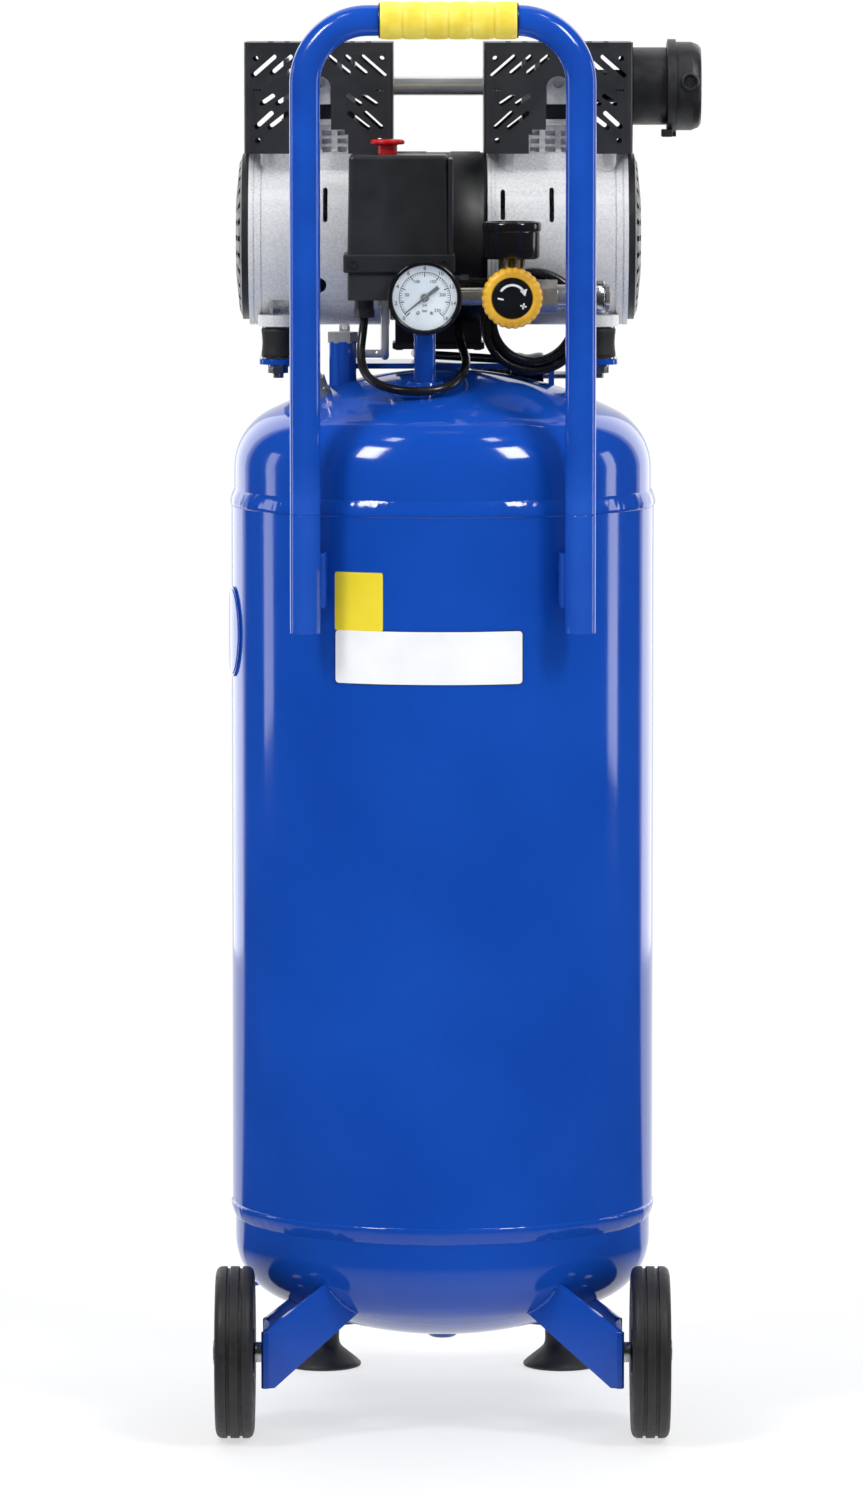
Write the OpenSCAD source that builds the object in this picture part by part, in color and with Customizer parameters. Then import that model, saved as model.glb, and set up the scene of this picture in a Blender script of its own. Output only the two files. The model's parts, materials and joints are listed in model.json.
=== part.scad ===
// Upright air compressor: a 50 litre tank on two wheels and two rubber feet, with a
// two-cylinder oil-free motor, a pressure switch, a regulator and two gauges on top.
// +Z is up and the front faces -Y. The origin is on the floor, under the middle of the
// whole width and depth. Lengths are millimetres, and the modules draw round the tank's axis.

/* [Tank] */
// Outer diameter of the rolled shell
tank_d = 310; // [296:1:324]
// Steel thickness of the shell and the heads
tank_wall = 2.2; // [1.8:0.1:3]
// Height of the tank's lowest point above the floor
tank_base = 61; // [56:1:68]
// Length of the rolled shell
shell_len = 518; // [400:1:700]
// Crown radius of the dished heads
crown_r = 285; // [265:1:310]
// Knuckle radius of the dished heads
knuckle_r = 47; // [40:1:54]
// Straight part of each head that shows beyond the shell
head_flange = 25; // [15:1:35]
// Length of each head that is lapped inside the shell
head_lap = 18; // [8:1:30]

/* [Handle] */
// Distance between the centrelines of the two legs
handle_span = 197; // [180:1:210]
// Outer diameter of the handle tube
tube_d = 22; // [19:1:25]
// Wall of the handle tube
tube_wall = 1.5; // [1.2:0.1:2]
// Gap between the legs and the tank, measured outward
handle_standoff = 13; // [10:1:18]
// Height of the crossbar's centreline above the top of the tank
handle_rise = 255.5; // [230:0.5:290]
// Centreline radius of the two upper bends
bend_r = 45; // [36:1:60]
// Length of the sockets that hold the handle
socket_len = 85; // [60:1:110]
// Length of the handle's thin end inside a socket
spigot_len = 30; // [20:1:40]
// Height of the plates that weld the sockets to the tank
strap_h = 39; // [25:1:50]
// Outer diameter of the soft grip
grip_d = 27; // [25.5:0.5:32]
// Length of the soft grip
grip_len = 98; // [80:1:104]
// How far the grip sits right of the middle
grip_shift = 4; // [-2:1:4]

/* [Wheels] */
// Wheel diameter
wheel_d = 125; // [115:1:135]
// Wheel width
wheel_w = 28; // [22:1:34]
// Distance between the outer faces of the wheels
track = 330; // [320:1:345]
// How far the axle lies in front of the tank's axis
axle_front = 110; // [100:1:118]
// Diameter of the axle bolts
axle_d = 10; // [8:1:12]
// Distance between the two flanges of a wheel bracket, over the sheet
bracket_w = 64; // [56:1:72]
// Thickness of the folded bracket sheet
sheet_t = 4; // [3:0.5:5]

/* [Feet] */
// Diameter of the rubber feet at the floor
foot_d = 58; // [50:1:66]
// Height of the rubber feet
foot_h = 34; // [30:1:38]
// Distance of each foot from the middle plane
foot_x = 91; // [80:1:100]
// Distance of the feet behind the tank's axis
foot_back = 190; // [180:1:200]

/* [Motor] */
// Outer radius of the crankcases
case_r = 65; // [62:1:68]
// Length of each crankcase along the shaft
case_len = 103; // [98:1:108]
// Length of the black stator housing between the crankcases
stator_len = 72; // [66:1:78]
// Height of the shaft above the top of the tank
shaft_rise = 95.5; // [92:0.5:100]
// How far the shaft lies behind the tank's axis
motor_back = 50; // [46:1:56]
// How far the motor's middle lies left of the tank's axis
motor_left = 3; // [0:1:5]
// Diameter of the motor shaft
shaft_d = 15; // [12:1:17]
// Cylinder bore
bore_d = 50; // [44:1:54]
// Stroke of the pistons
stroke = 14; // [10:1:16]
// Distance of each cylinder's axis from the motor's middle
cyl_x = 87.5; // [84:0.5:91]
// Height of the cylinder blocks
cylinder_h = 24.9; // [22:0.1:30]
// Wall of the moulded and cast covers
cover_t = 2.5; // [2:0.1:3]
// Width of each head guard along the shaft
guard_w = 109; // [104:1:114]
// Depth of each head guard, front to back
guard_depth = 110; // [104:1:116]
// Height of each head guard
guard_h = 81; // [76:1:88]
// Diameter of the rubber mounts
mount_d = 25; // [22:1:28]
// Height of the rubber mounts
mount_h = 24; // [20:1:26]
// Distance between the front and the rear mounts
mount_pitch = 94; // [92:1:98]
// Distance of the mounts from the motor's middle, along the shaft
mount_x = 117.5; // [114:0.5:121]

/* [Controls] */
// Height of the gauge, manifold and regulator above the top of the tank
control_rise = 56; // [52:1:62]
// How far the manifold lies in front of the tank's axis
manifold_front = 66; // [62:1:70]
// Diameter of the riser pipe under the manifold
riser_d = 16; // [14:1:20]
// Width of the pressure switch
switch_w = 81; // [72:1:86]
// Depth of the pressure switch, front to back
switch_depth = 54; // [48:1:55]
// Height of the pressure switch's cover
switch_h = 85; // [70:1:92]
// Case diameter of the tank gauge
gauge_d = 52; // [44:1:56]
// Case depth of the tank gauge
gauge_depth = 24; // [20:1:28]
// Case diameter of the outlet gauge
outlet_gauge_d = 41; // [36:1:44]
// Case depth of the outlet gauge
outlet_gauge_depth = 27; // [22:1:30]
// Diameter of the regulator knob
knob_d = 44; // [38:1:48]
// Distance of the regulator's axis right of the tank's axis
regulator_x = 50; // [46:1:54]
// Bore of the quick coupler
coupler_bore = 10.4; // [8:0.1:11]

/* [Hidden] */
$fn = 64;
EPS = 0.01;
BLUE = "#1146b5";
BLACK = "#1c1c1e";
CAST = "#b9bcc0";
STEEL = "#c9ccd1";
BRASS = "#b8934a";
slide_gap = 0.3;
run_gap = 0.08;

// Tank
shell_r = tank_d / 2;
head_r = shell_r - tank_wall;
knuckle_c = head_r - knuckle_r;
crown_angle = asin(knuckle_c / (crown_r - knuckle_r));
// To a tenth, so that heights above the tank stay round numbers
head_h = round(10 * (crown_r - (crown_r - knuckle_r) * cos(crown_angle))) / 10;
shell_z0 = tank_base + head_h + head_flange;
shell_z1 = shell_z0 + shell_len;
dome_top = shell_z1 + head_flange + head_h;
dome_tangent = dome_top - head_h;

function dome_z(r) = r < knuckle_c + knuckle_r * sin(crown_angle)
    ? dome_top - crown_r + sqrt(crown_r * crown_r - r * r)
    : dome_tangent + sqrt(knuckle_r * knuckle_r - pow(r - knuckle_c, 2));

// Handle
leg_x = handle_span / 2;
leg_r = shell_r + handle_standoff + tube_d / 2;
handle_y = -sqrt(leg_r * leg_r - leg_x * leg_x);
bar_z = dome_top + handle_rise;
socket_z = shell_z1 - socket_len;
strap_z = socket_z + 18;
strap_t = 5;

// Wheels and feet
axle_z = wheel_d / 2;
wheel_x1 = track / 2;
wheel_x0 = wheel_x1 - wheel_w;
spacer_len = 7;
web_x = wheel_x0 - spacer_len;
rim_d = wheel_d - 36;
bracket_toe = 22;
drain_turn = 148;
drain_tilt = 55;

// Motor
motor_z = dome_top + shaft_rise;
case_u0 = stator_len / 2;
case_u1 = case_u0 + case_len;
case_wall = 4;
stator_r = case_r - 3;
bearing_d = shaft_d + 20;
bearing_w = 11;
head_w = 52;
head_depth = 78;
cyl_z0 = motor_z + case_r - 3;
valve_z = cyl_z0 + cylinder_h;
valve_t = 11;
head_z = valve_z + valve_t;
guard_z1 = head_z + 45.1;
guard_z0 = guard_z1 - guard_h;
pipe_z = head_z + 12.6;
pipe_d = 14;
filter_x0 = cyl_x + guard_w / 2 - motor_left;
filter_neck = 26;
filter_cap = 25;
flange_z = motor_z - case_r + 1 - mount_h;
mount_y = [motor_back - mount_pitch / 2, motor_back + mount_pitch / 2];
lug_t = 8;
nut_h = 5;
mount_bolt = 8;

port_shift = 17.5;
pipe_x = -motor_left - cyl_x + port_shift;
check_y = -4;
safety_r = 98;
safety_turn = 205;
unloader_x = -42;
unloader_y = -46;

// Controls
ctl_z = dome_top + control_rise;
riser_x = -13;
block_w = 30;
block_h = 24;
block_d = 28;
block_front = riser_d / 2 + 0.5;
ctl_y = -manifold_front;
switch_x0 = -72;
switch_y0 = ctl_y - 5;
base_z0 = ctl_z - 3;
cover_z0 = base_z0 + 20;
cover_z1 = cover_z0 + switch_h;
reg_body_d = 32;
coupler_x0 = regulator_x + 18;

// Frame: the drawing's own axis is the tank's; the part's origin is under the middle of the box
box_x = [-wheel_x1, filter_x0 + filter_neck + filter_cap];
box_y = [-axle_front - wheel_d / 2, foot_back + foot_d / 2];

// Cords: hand-laid points, with heights above the top of the tank, and the coil between two of them
cord_d = 6.4;
motor_cord_d = 6.5;
coil_c = [66, -24.6, 36];
coil_r = [26.6, 39.4];
coil_w = 22;
plug_at = [25.5, 121.5, -10.6];
MOTOR_LEAD = [
    [-57, -50, 40], [-58, -51, 29.5], [-60, -58, 13.5], [-57, -72, 0.5], [-48, -86, -6.5],
    [-34, -96, -10.5], [-18, -99, -11.5], [-3, -96, -10.5], [8, -86, -6.5], [14, -72, -0.5],
    [17, -54, 5.5], [17, -36, 9.5], [16, -16, 12.5], [14, 6, 15.5], [12, 24, 23.5], [12, 32, 34.8]
];
MAINS_LEAD = [
    [19, -32.4, 63], [24.5, -32.4, 63], [33.4, -32.4, 63.6], [42.3, -32.4, 65.6], [50.7, -32.4, 68.8]
];
MAINS_TAIL = [
    [63.4, -13.2, 6.3], [59, -12.9, 6.4], [54.6, -11.9, 6.6], [50.5, -10.3, 6.9], [46.6, -8.1, 7.2],
    [43.1, -5.3, 7.5], [40.1, -2.1, 7.6], [29.6, 10.9, 7.6], [8.5, 36.9, 7.6], [-12.5, 62.8, 7.6],
    [-16.8, 69.7, 7.6], [-19.6, 77.3, 7.6], [-20.5, 85.3, 7.6], [-19.6, 93.4, 6.9], [-17, 101, 5.1],
    [-12.7, 107.9, 2.3], [-7, 113.6, -1.1], [-0.2, 117.9, -4.5], [7.5, 120.6, -7.5],
    [15.5, 121.5, -9.6], plug_at
];

// ---------- shared shapes ----------

// Moves the tank's axis so that the origin lies under the middle of the whole box
module placed() translate([-(box_x[0] + box_x[1]) / 2, -(box_y[0] + box_y[1]) / 2, 0]) children();

module both_sides() for (side = [0, 1]) mirror([side, 0, 0]) children();

module tube(d, wall, len) difference() {
    cylinder(d = d, h = len);
    translate([0, 0, -1]) cylinder(d = d - 2 * wall, h = len + 2);
}

module along_x(x0, d, len, fn = $fn) translate([x0, 0, 0]) rotate([0, 90, 0])
    cylinder(d = d, h = len, $fn = fn);

module hex(af, h) cylinder(d = af / cos(30), h = h, $fn = 6);

module rounded_rect(size, r) {
    translate([r, 0]) square([size[0] - 2 * r, size[1]]);
    translate([0, r]) square([size[0], size[1] - 2 * r]);
    for (x = [r, size[0] - r], y = [r, size[1] - r]) translate([x, y]) circle(r);
}

// Half outline of a dished head, from the axis out to the rim; the tangent plane is at 0
function head_curve(inset, below) = concat(
    [for (i = [0:8]) let (a = i / 8 * crown_angle)
        [(crown_r - inset) * sin(a), head_h - crown_r + (crown_r - inset) * cos(a)]],
    [for (i = [1:12]) let (a = crown_angle + i / 12 * (90 - crown_angle))
        [knuckle_c + (knuckle_r - inset) * sin(a), (knuckle_r - inset) * cos(a)]],
    [[head_r - inset, -below]]);

function reversed(list) = [for (i = [len(list) - 1:-1:0]) list[i]];

module head_shell() rotate_extrude($fn = 128)
    polygon(concat(head_curve(0, head_flange + head_lap),
        reversed(head_curve(tank_wall, head_flange + head_lap))));

// The whole space inside a head, for cutting what is welded on it
module head_solid() rotate_extrude($fn = 128) polygon(concat(head_curve(0, 60), [[0, -60]]));

module on_top_head() translate([0, 0, dome_tangent]) children();

module on_bottom_head() translate([0, 0, tank_base + head_h]) mirror([0, 0, 1]) children();

// A tube swept along hand-laid points, with rings square to the route
function unit(v) = v / norm(v);
function route_dir(p, i) = unit(p[min(i + 1, len(p) - 1)] - p[max(i - 1, 0)]);
function ring_at(c, dir, r, sides) = let (
        ref = abs(dir[2]) < 0.9 ? [0, 0, 1] : [0, 1, 0],
        u = unit(cross(dir, ref)), v = cross(dir, u))
    [for (k = [0:sides - 1]) c + r * (cos(360 * k / sides) * u + sin(360 * k / sides) * v)];
function between(p, i, t) = let (
        a = p[max(i - 1, 0)], b = p[i], c = p[i + 1], d = p[min(i + 2, len(p) - 1)])
    0.5 * (2 * b + (c - a) * t + (2 * a - 5 * b + 4 * c - d) * t * t + (3 * b - a - 3 * c + d) * t * t * t);
function smooth(p, parts) = concat(
    [for (i = [0:len(p) - 2], k = [0:parts - 1]) between(p, i, k / parts)], [p[len(p) - 1]]);

module swept_tube(points, d, sides = 10) {
    n = len(points);
    rings = [for (i = [0:n - 1]) each ring_at(points[i], route_dir(points, i), d / 2, sides)];
    side_faces = [for (i = [0:n - 2], k = [0:sides - 1])
        [i * sides + k, i * sides + (k + 1) % sides,
            (i + 1) * sides + (k + 1) % sides, (i + 1) * sides + k]];
    polyhedron(rings, concat(side_faces, [[for (k = [sides - 1:-1:0]) k]],
        [[for (k = [0:sides - 1]) (n - 1) * sides + k]]));
}

// ---------- tank ----------

module tank_shell() color(BLUE) placed()
    translate([0, 0, shell_z0]) tube(tank_d, tank_wall, shell_len, $fn = 128);

module tank_top_head() color(BLUE) placed() on_top_head() head_shell();

module tank_bottom_head() color(BLUE) placed() {
    on_bottom_head() head_shell();
    // Plugged boss, welded under the middle
    difference() {
        translate([0, 0, tank_base]) {
            translate([0, 0, -5.5]) cylinder(d1 = 17, d2 = 29, h = 5.5);
            cylinder(d = 29, h = 4);
        }
        on_bottom_head() head_solid();
        translate([0, 0, tank_base - 6]) hex(8, 4);
    }
}

module seam_ring() rotate_extrude($fn = 128) polygon([
    [head_r, 0], [shell_r, 0], [shell_r + 0.5, -1.5], [shell_r + 0.1, -5], [shell_r - 1.2, -8],
    [head_r, -10]
]);

module weld_seams() color(BLUE) placed() {
    translate([0, 0, shell_z0]) seam_ring();
    translate([0, 0, shell_z1]) mirror([0, 0, 1]) seam_ring();
    // The rolled shell's own seam, down the front
    rotate([0, 0, -91]) rotate_extrude(angle = 2, $fn = 128)
        translate([shell_r, shell_z0 + 1]) square([0.5, shell_len - 2]);
}

// ---------- handle ----------

// Solid rod along the handle, from both ends of the legs round the two bends
module handle_path(d, z0) {
    bend_z = bar_z - bend_r;
    both_sides() {
        translate([leg_x, 0, z0]) cylinder(d = d, h = bend_z - z0);
        translate([leg_x - bend_r, 0, bend_z]) rotate([90, 0, 0]) rotate_extrude(angle = 90)
            translate([bend_r, 0]) circle(d = d);
    }
    translate([-leg_x + bend_r, 0, bar_z]) rotate([0, 90, 0]) cylinder(d = d, h = 2 * (leg_x - bend_r));
}

module handle_tube() color(BLUE) placed() translate([0, handle_y, 0]) {
    bore_r = tube_d / 2 - tube_wall;
    difference() {
        handle_path(tube_d, shell_z1);
        handle_path(2 * bore_r, shell_z1 - 1);
    }
    // Thin ends that plug into the sockets
    both_sides() translate([leg_x, 0, shell_z1]) rotate_extrude() polygon([
        [bore_r - tube_wall, -spigot_len], [bore_r - run_gap, -spigot_len], [bore_r - run_gap, 0],
        [tube_d / 2, 0], [tube_d / 2, 4], [bore_r - tube_wall, 4]
    ]);
}

module handle_grip() color("#f3dd4d") placed() {
    waves = 6;
    wave = grip_len / waves;
    groove = 0.9;
    translate([grip_shift - grip_len / 2, handle_y, bar_z]) rotate([0, 90, 0])
        rotate_extrude() polygon(concat(
            [[tube_d / 2, 0]],
            [for (i = [0:waves - 1]) each [
                [grip_d / 2 - groove, i * wave + 0.3], [grip_d / 2 - 0.15, i * wave + 2.2],
                [grip_d / 2, i * wave + wave / 2], [grip_d / 2 - 0.15, (i + 1) * wave - 2.2],
                [grip_d / 2 - groove, (i + 1) * wave - 0.3]]],
            [[tube_d / 2, grip_len]]));
}

module handle_sockets() color(BLUE) placed() both_sides() {
    translate([leg_x, handle_y, socket_z]) tube(tube_d, tube_wall, socket_len);
    // Strap from the socket's inner side back to the shell
    difference() {
        translate([leg_x - tube_d / 2 - strap_t + 2, handle_y, strap_z])
            cube([strap_t, leg_r - leg_x, strap_h]);
        cylinder(r = shell_r, h = dome_top, $fn = 128);
        translate([leg_x, handle_y, 0]) cylinder(d = tube_d - EPS, h = dome_top);
    }
}

// ---------- wheels and feet ----------

// Side outline of a bracket flange: reach runs inward from the web
function flange_outline() = [
    [0, axle_z - 21.5], [9, axle_z - 21.5], [74, tank_base + 31], [100, tank_base + 52],
    [100, tank_base + 80], [48, tank_base + 53], [2, axle_z + 20.5], [0, axle_z + 19.5]
];

module wheel_brackets() color(BLUE) placed() both_sides() difference() {
    translate([web_x, -axle_front, 0]) {
        for (side = [-1, 1]) translate([0, side * (bracket_w / 2) - (side > 0 ? sheet_t : 0), 0])
            rotate([0, 0, -bracket_toe]) mirror([1, 0, 0]) rotate([90, 0, 0])
                translate([0, 0, -sheet_t]) linear_extrude(sheet_t) polygon(flange_outline());
        translate([-sheet_t, -bracket_w / 2, axle_z - 21.5]) cube([sheet_t, bracket_w, 41]);
    }
    translate([web_x - 20, -axle_front, axle_z]) along_x(0, axle_d + 2 * run_gap, 40);
    on_bottom_head() head_solid();
}

module axle_bolts() color(STEEL) placed() both_sides() translate([0, -axle_front, axle_z]) {
    along_x(web_x - sheet_t - 12, axle_d, wheel_x1 + 14 - web_x);
    // Nut inside the web, spacer nut outside it, and the head in the wheel's recess
    translate([web_x - sheet_t - 8, 0, 0]) rotate([0, 90, 0]) hex(axle_d * 1.7, 8);
    along_x(web_x, axle_d * 1.5, spacer_len - run_gap);
    translate([wheel_x1 - 5, 0, 0]) rotate([0, 90, 0]) hex(axle_d * 1.6, 7);
}

module wheel_rim() translate([0, -axle_front, axle_z]) difference() {
    union() {
        along_x(wheel_x0, 34, wheel_w - 5 - run_gap);
        along_x(wheel_x0 + wheel_w / 2 - 4, rim_d, 8);
        difference() {
            along_x(wheel_x0 + 3, rim_d, wheel_w - 6);
            along_x(wheel_x0, rim_d - 10, wheel_w);
        }
    }
    along_x(wheel_x0 - 1, axle_d + 2 * run_gap, wheel_w + 2);
    for (a = [0:60:300]) rotate([a, 0, 0]) translate([0, 28, 0]) along_x(wheel_x0, 13, wheel_w, 24);
}

module tyre() translate([wheel_x0, -axle_front, axle_z]) rotate([0, 90, 0]) rotate_extrude($fn = 96)
    polygon([
        [rim_d / 2, 3], [rim_d / 2 + 6, 1], [wheel_d / 2 - 5, 0], [wheel_d / 2 - 1.5, 1.2],
        [wheel_d / 2, 4], [wheel_d / 2, 8], [wheel_d / 2 - 1.2, 8.7], [wheel_d / 2, 9.4],
        [wheel_d / 2, wheel_w / 2 - 0.7], [wheel_d / 2 - 1.2, wheel_w / 2],
        [wheel_d / 2, wheel_w / 2 + 0.7], [wheel_d / 2, wheel_w - 9.4],
        [wheel_d / 2 - 1.2, wheel_w - 8.7], [wheel_d / 2, wheel_w - 8],
        [wheel_d / 2, wheel_w - 4], [wheel_d / 2 - 1.5, wheel_w - 1.2],
        [wheel_d / 2 - 5, wheel_w], [rim_d / 2 + 6, wheel_w - 1], [rim_d / 2, wheel_w - 3]
    ]);

module wheel_rim_right() color(BLACK) placed() wheel_rim();
module wheel_rim_left() color(BLACK) placed() mirror([1, 0, 0]) wheel_rim();
module tyre_right() color("#222224") placed() tyre();
module tyre_left() color("#222224") placed() mirror([1, 0, 0]) tyre();

module foot_legs() color(BLUE) placed() both_sides() {
    foot_r = sqrt(foot_x * foot_x + foot_back * foot_back);
    difference() {
        rotate([0, 0, atan2(foot_back, foot_x)]) translate([foot_r, 0, 0]) {
            // Pad over the rubber foot, and a folded arm up to the tank
            translate([-22, -20, foot_h]) cube([42, 40, sheet_t]);
            for (side = [-1, 1]) translate([0, side * 18 + sheet_t / 2, 0]) rotate([90, 0, 0])
                linear_extrude(sheet_t) polygon([
                    [20, foot_h], [20, foot_h + 6], [-60, tank_base + 62], [-110, tank_base + 62],
                    [-110, tank_base + 20], [-22, foot_h]
                ]);
        }
        on_bottom_head() head_solid();
        translate([foot_x, foot_back, foot_h - 1]) cylinder(d = mount_bolt + 0.4, h = sheet_t + 2);
    }
}

module rubber_feet() color("#2a2a2c") placed() both_sides() translate([foot_x, foot_back, 0])
    rotate_extrude() polygon([
        [0, 2], [18, 0], [foot_d / 2 - 1.5, 0], [foot_d / 2, 1.5], [foot_d / 2 - 0.5, 3],
        [foot_d / 2 - 3, 4.8], [foot_d / 2 - 8, 7.3], [16, 9.4], [13.2, 12], [12.2, 15.5],
        [12, foot_h], [mount_bolt / 2, foot_h], [mount_bolt / 2, foot_h * 0.5], [0, foot_h * 0.5]
    ]);

// Ball valve on the knuckle of the lower head, square to the surface
module drain_at() rotate([0, 0, drain_turn]) translate([knuckle_c, 0, tank_base + head_h])
    rotate([0, 90 + drain_tilt, 0]) translate([0, 0, knuckle_r]) children();

module drain_valve() color(BRASS) placed() {
    difference() {
        drain_at() {
            translate([0, 0, -6]) cylinder(d = 14, h = 12);
            translate([0, 0, 4]) hex(14, 10);
            translate([0, 0, 14]) cylinder(d = 9, h = 8);
        }
        on_bottom_head() head_solid();
        drain_at() translate([0, 0, 12]) cylinder(d = 5, h = 20);
    }
    drain_at() translate([-5, 0, 9]) rotate([0, -90, 0]) cylinder(d = 6, h = 7);
}

module drain_lever() color(BLUE) placed() drain_at() translate([-8.6, 0, 9]) rotate([0, -90, 0])
    difference() {
        union() {
            cylinder(d = 12, h = 3);
            translate([0, -5, 0]) cube([9, 10, 3]);
            translate([8, -5, 0]) rotate([0, -30, 0]) cube([14, 10, 3]);
        }
        translate([0, 0, -1]) cylinder(d = 6 + 2 * run_gap, h = 5);
    }

// ---------- motor ----------

// Draws for the left half or the right half of the motor, with x measured out from its middle
module motor_half(side) translate([-motor_left, motor_back, motor_z]) scale_x(side) children();
module scale_x(side) mirror([side < 0 ? 1 : 0, 0, 0]) children();
module motor_halves() for (side = [-1, 1]) motor_half(side) children();

module stator_housing() color(BLACK) placed() motor_half(1) difference() {
    union() {
        along_x(-case_u0, 2 * stator_r, stator_len);
        // Shallow cooling ribs
        for (i = [-3:3]) along_x(i * 9 - 1.5, 2 * stator_r + 2, 3);
    }
    along_x(-case_u0 - 1, 76, stator_len + 2);
}

module vent_slot(x, z, len, w) translate([x, 0, z]) rotate([90, 0, 0]) linear_extrude(case_r + 10) {
    translate([-w / 2, (w - len) / 2]) square([w, len - w]);
    for (y = [-1, 1]) translate([0, y * (len - w) / 2]) circle(d = w, $fn = 24);
}

// Shallow grooves turned round a crankcase near its two ends
module case_grooves() for (x = [case_u0 + 2, case_u0 + 5, case_u1 - 10, case_u1 - 4.5]) difference() {
    along_x(x, 2 * case_r + 2, 1.2);
    along_x(x - 1, 2 * case_r - 1.4, 4);
}

module crankcase() {
    floor_t = 6;
    neck = [78, 84];
    neck_top = cyl_z0 - motor_z;
    difference() {
        union() {
            along_x(case_u0, 2 * case_r, case_len);
            // Foot plates over the rubber mounts
            for (y = mount_y) translate([mount_x, y - motor_back, 1 - case_r]) {
                cylinder(d = mount_d + 4, h = lug_t);
                translate([-mount_d / 2 - 2, min(0, motor_back - y), 0])
                    cube([mount_d + 4, abs(motor_back - y), lug_t]);
            }
            // Neck under the cylinder, with the screw bosses at its corners
            translate([cyl_x - neck[0] / 2, -neck[1] / 2, 30]) cube([neck[0], neck[1], neck_top - 30]);
            for (x = [-35.5, 35.5], y = [-36, 36]) translate([cyl_x + x, y, neck_top - 13])
                cylinder(d = 15, h = 13, $fn = 32);
        }
        translate([cyl_x - 45, -45, neck_top]) cube([90, 90, 10]);
        along_x(case_u0 + floor_t, 2 * (case_r - case_wall), case_len);
        along_x(case_u0 - 1, bearing_d - 6, 20);
        translate([cyl_x, 0, 0]) cylinder(d = bore_d + 6, h = case_r + 20);
        for (y = mount_y) translate([mount_x, y - motor_back, -case_r])
            cylinder(d = mount_bolt + 0.4, h = 20);
        vent_slot(cyl_x - 40.5, 24.8, 22, 3.4);
        vent_slot(cyl_x - 4.8, 24.8, 25, 3.4);
        translate([cyl_x, 0, -34]) rotate([90, 0, 0]) cylinder(d = 11, h = case_r);
        case_grooves();
    }
    // Seat of the shaft bearing
    difference() {
        along_x(case_u0 + floor_t - 1, bearing_d + 10, bearing_w + 1);
        along_x(case_u0, bearing_d - 6, 10);
        along_x(case_u0 + floor_t, bearing_d, bearing_w + 10);
    }
}

module crankcase_left() color(CAST) placed() motor_half(-1) crankcase();
module crankcase_right() color(CAST) placed() motor_half(1) crankcase();

module fan_grilles() color("#3a3b3e") placed() motor_halves() {
    ring_w = 5;
    ring_r = case_r - 4;
    difference() {
        union() {
            along_x(case_u1, 2 * ring_r, ring_w);
            translate([case_u1 + ring_w, 0, 0]) rotate([0, 90, 0]) rotate_extrude()
                polygon([[0, 0], [ring_r - 1, 0], [ring_r - 7, 2.4], [30, 4.8], [0, 5.6]]);
        }
        along_x(case_u1 - 1, 2 * (ring_r - 4), ring_w - 1);
        for (row = [[17, 12], [32, 20], [46, 28]]) for (i = [0:row[1] - 1])
            rotate([i * 360 / row[1], 0, 0]) translate([case_u1, row[0], -2]) cube([20, 11, 4]);
    }
}

module motor_shaft() color(STEEL) placed() motor_half(1) {
    along_x(-case_u1 + 6, shaft_d, 2 * case_u1 - 12);
    // Rotor inside the stator, and an eccentric beside each connecting rod
    along_x(-case_u0 + 8, 72, stator_len - 16);
    for (side = [-1, 1]) scale_x(side) translate([0, 0, -stroke / 2]) along_x(cyl_x + 8, 34, 9);
}

module motor_fans() color("#2c2d30") placed() motor_halves() {
    blades = 9;
    fan_x = case_u1 - 20;
    difference() {
        union() {
            along_x(fan_x, 32, 20);
            for (i = [0:blades - 1]) rotate([i * 360 / blades, 0, 0]) translate([fan_x + 10, 0, 0])
                rotate([0, 0, 32]) translate([-1.2, -0.5, 14]) cube([2.4, 20, case_r - case_wall - 20]);
        }
        along_x(fan_x - 1, shaft_d, 22);
    }
}

module shaft_bearings() color(STEEL) placed() motor_halves() difference() {
    along_x(case_u0 + 6, bearing_d, bearing_w);
    along_x(case_u0, shaft_d + 2 * run_gap, bearing_w + 10);
}

module cylinders() color(CAST) placed() motor_halves() translate([cyl_x, 0, 0]) {
    top = valve_z - motor_z;
    base = cyl_z0 - motor_z;
    difference() {
        union() {
            // Liner, square flange and the finned block
            translate([0, 0, base - 20]) cylinder(d = bore_d + 6, h = top - base + 20);
            translate([-26, -39, base]) cube([52, 78, top - base]);
            translate([-23, -41, base]) cube([46, 82, 3]);
            translate([-23, -41, top - 4]) cube([46, 82, 4]);
        }
        translate([0, 0, base - 21]) cylinder(d = bore_d + 2 * slide_gap, h = top - base + 22);
        // Grid of vents in the front and rear faces
        for (face = [-1, 1], col = [-1.5:1:1.5], row = [0:2])
            translate([col * 11.6 - 3.5, face * 41 - 6, base + 1 + row * 6]) cube([7, 12, 3.6]);
    }
}

// Piston with its connecting rod; the ring round the shaft stands where the crank pin would be
module piston() {
    top = valve_z - motor_z - 10;
    translate([cyl_x, 0, 0]) {
        translate([0, 0, top - 6]) cylinder(d = bore_d, h = 6);
        translate([0, 0, top - 14]) cylinder(d = bore_d - 16, h = 9);
        difference() {
            translate([-5, -11, 18]) cube([10, 22, top - 26]);
            rotate([0, 90, 0]) translate([0, 0, -6]) cylinder(d = 34, h = 12);
        }
        difference() {
            along_x(-6, 46, 12);
            along_x(-7, shaft_d + stroke + 4, 14);
        }
    }
}

module piston_left() color("#d7d9dc") placed() motor_half(-1) piston();
module piston_right() color("#d7d9dc") placed() motor_half(1) piston();

module valve_plates() color("#26272a") placed() motor_halves()
    translate([cyl_x - head_w / 2, -head_depth / 2, valve_z - motor_z]) cube([head_w, head_depth, valve_t]);

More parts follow.
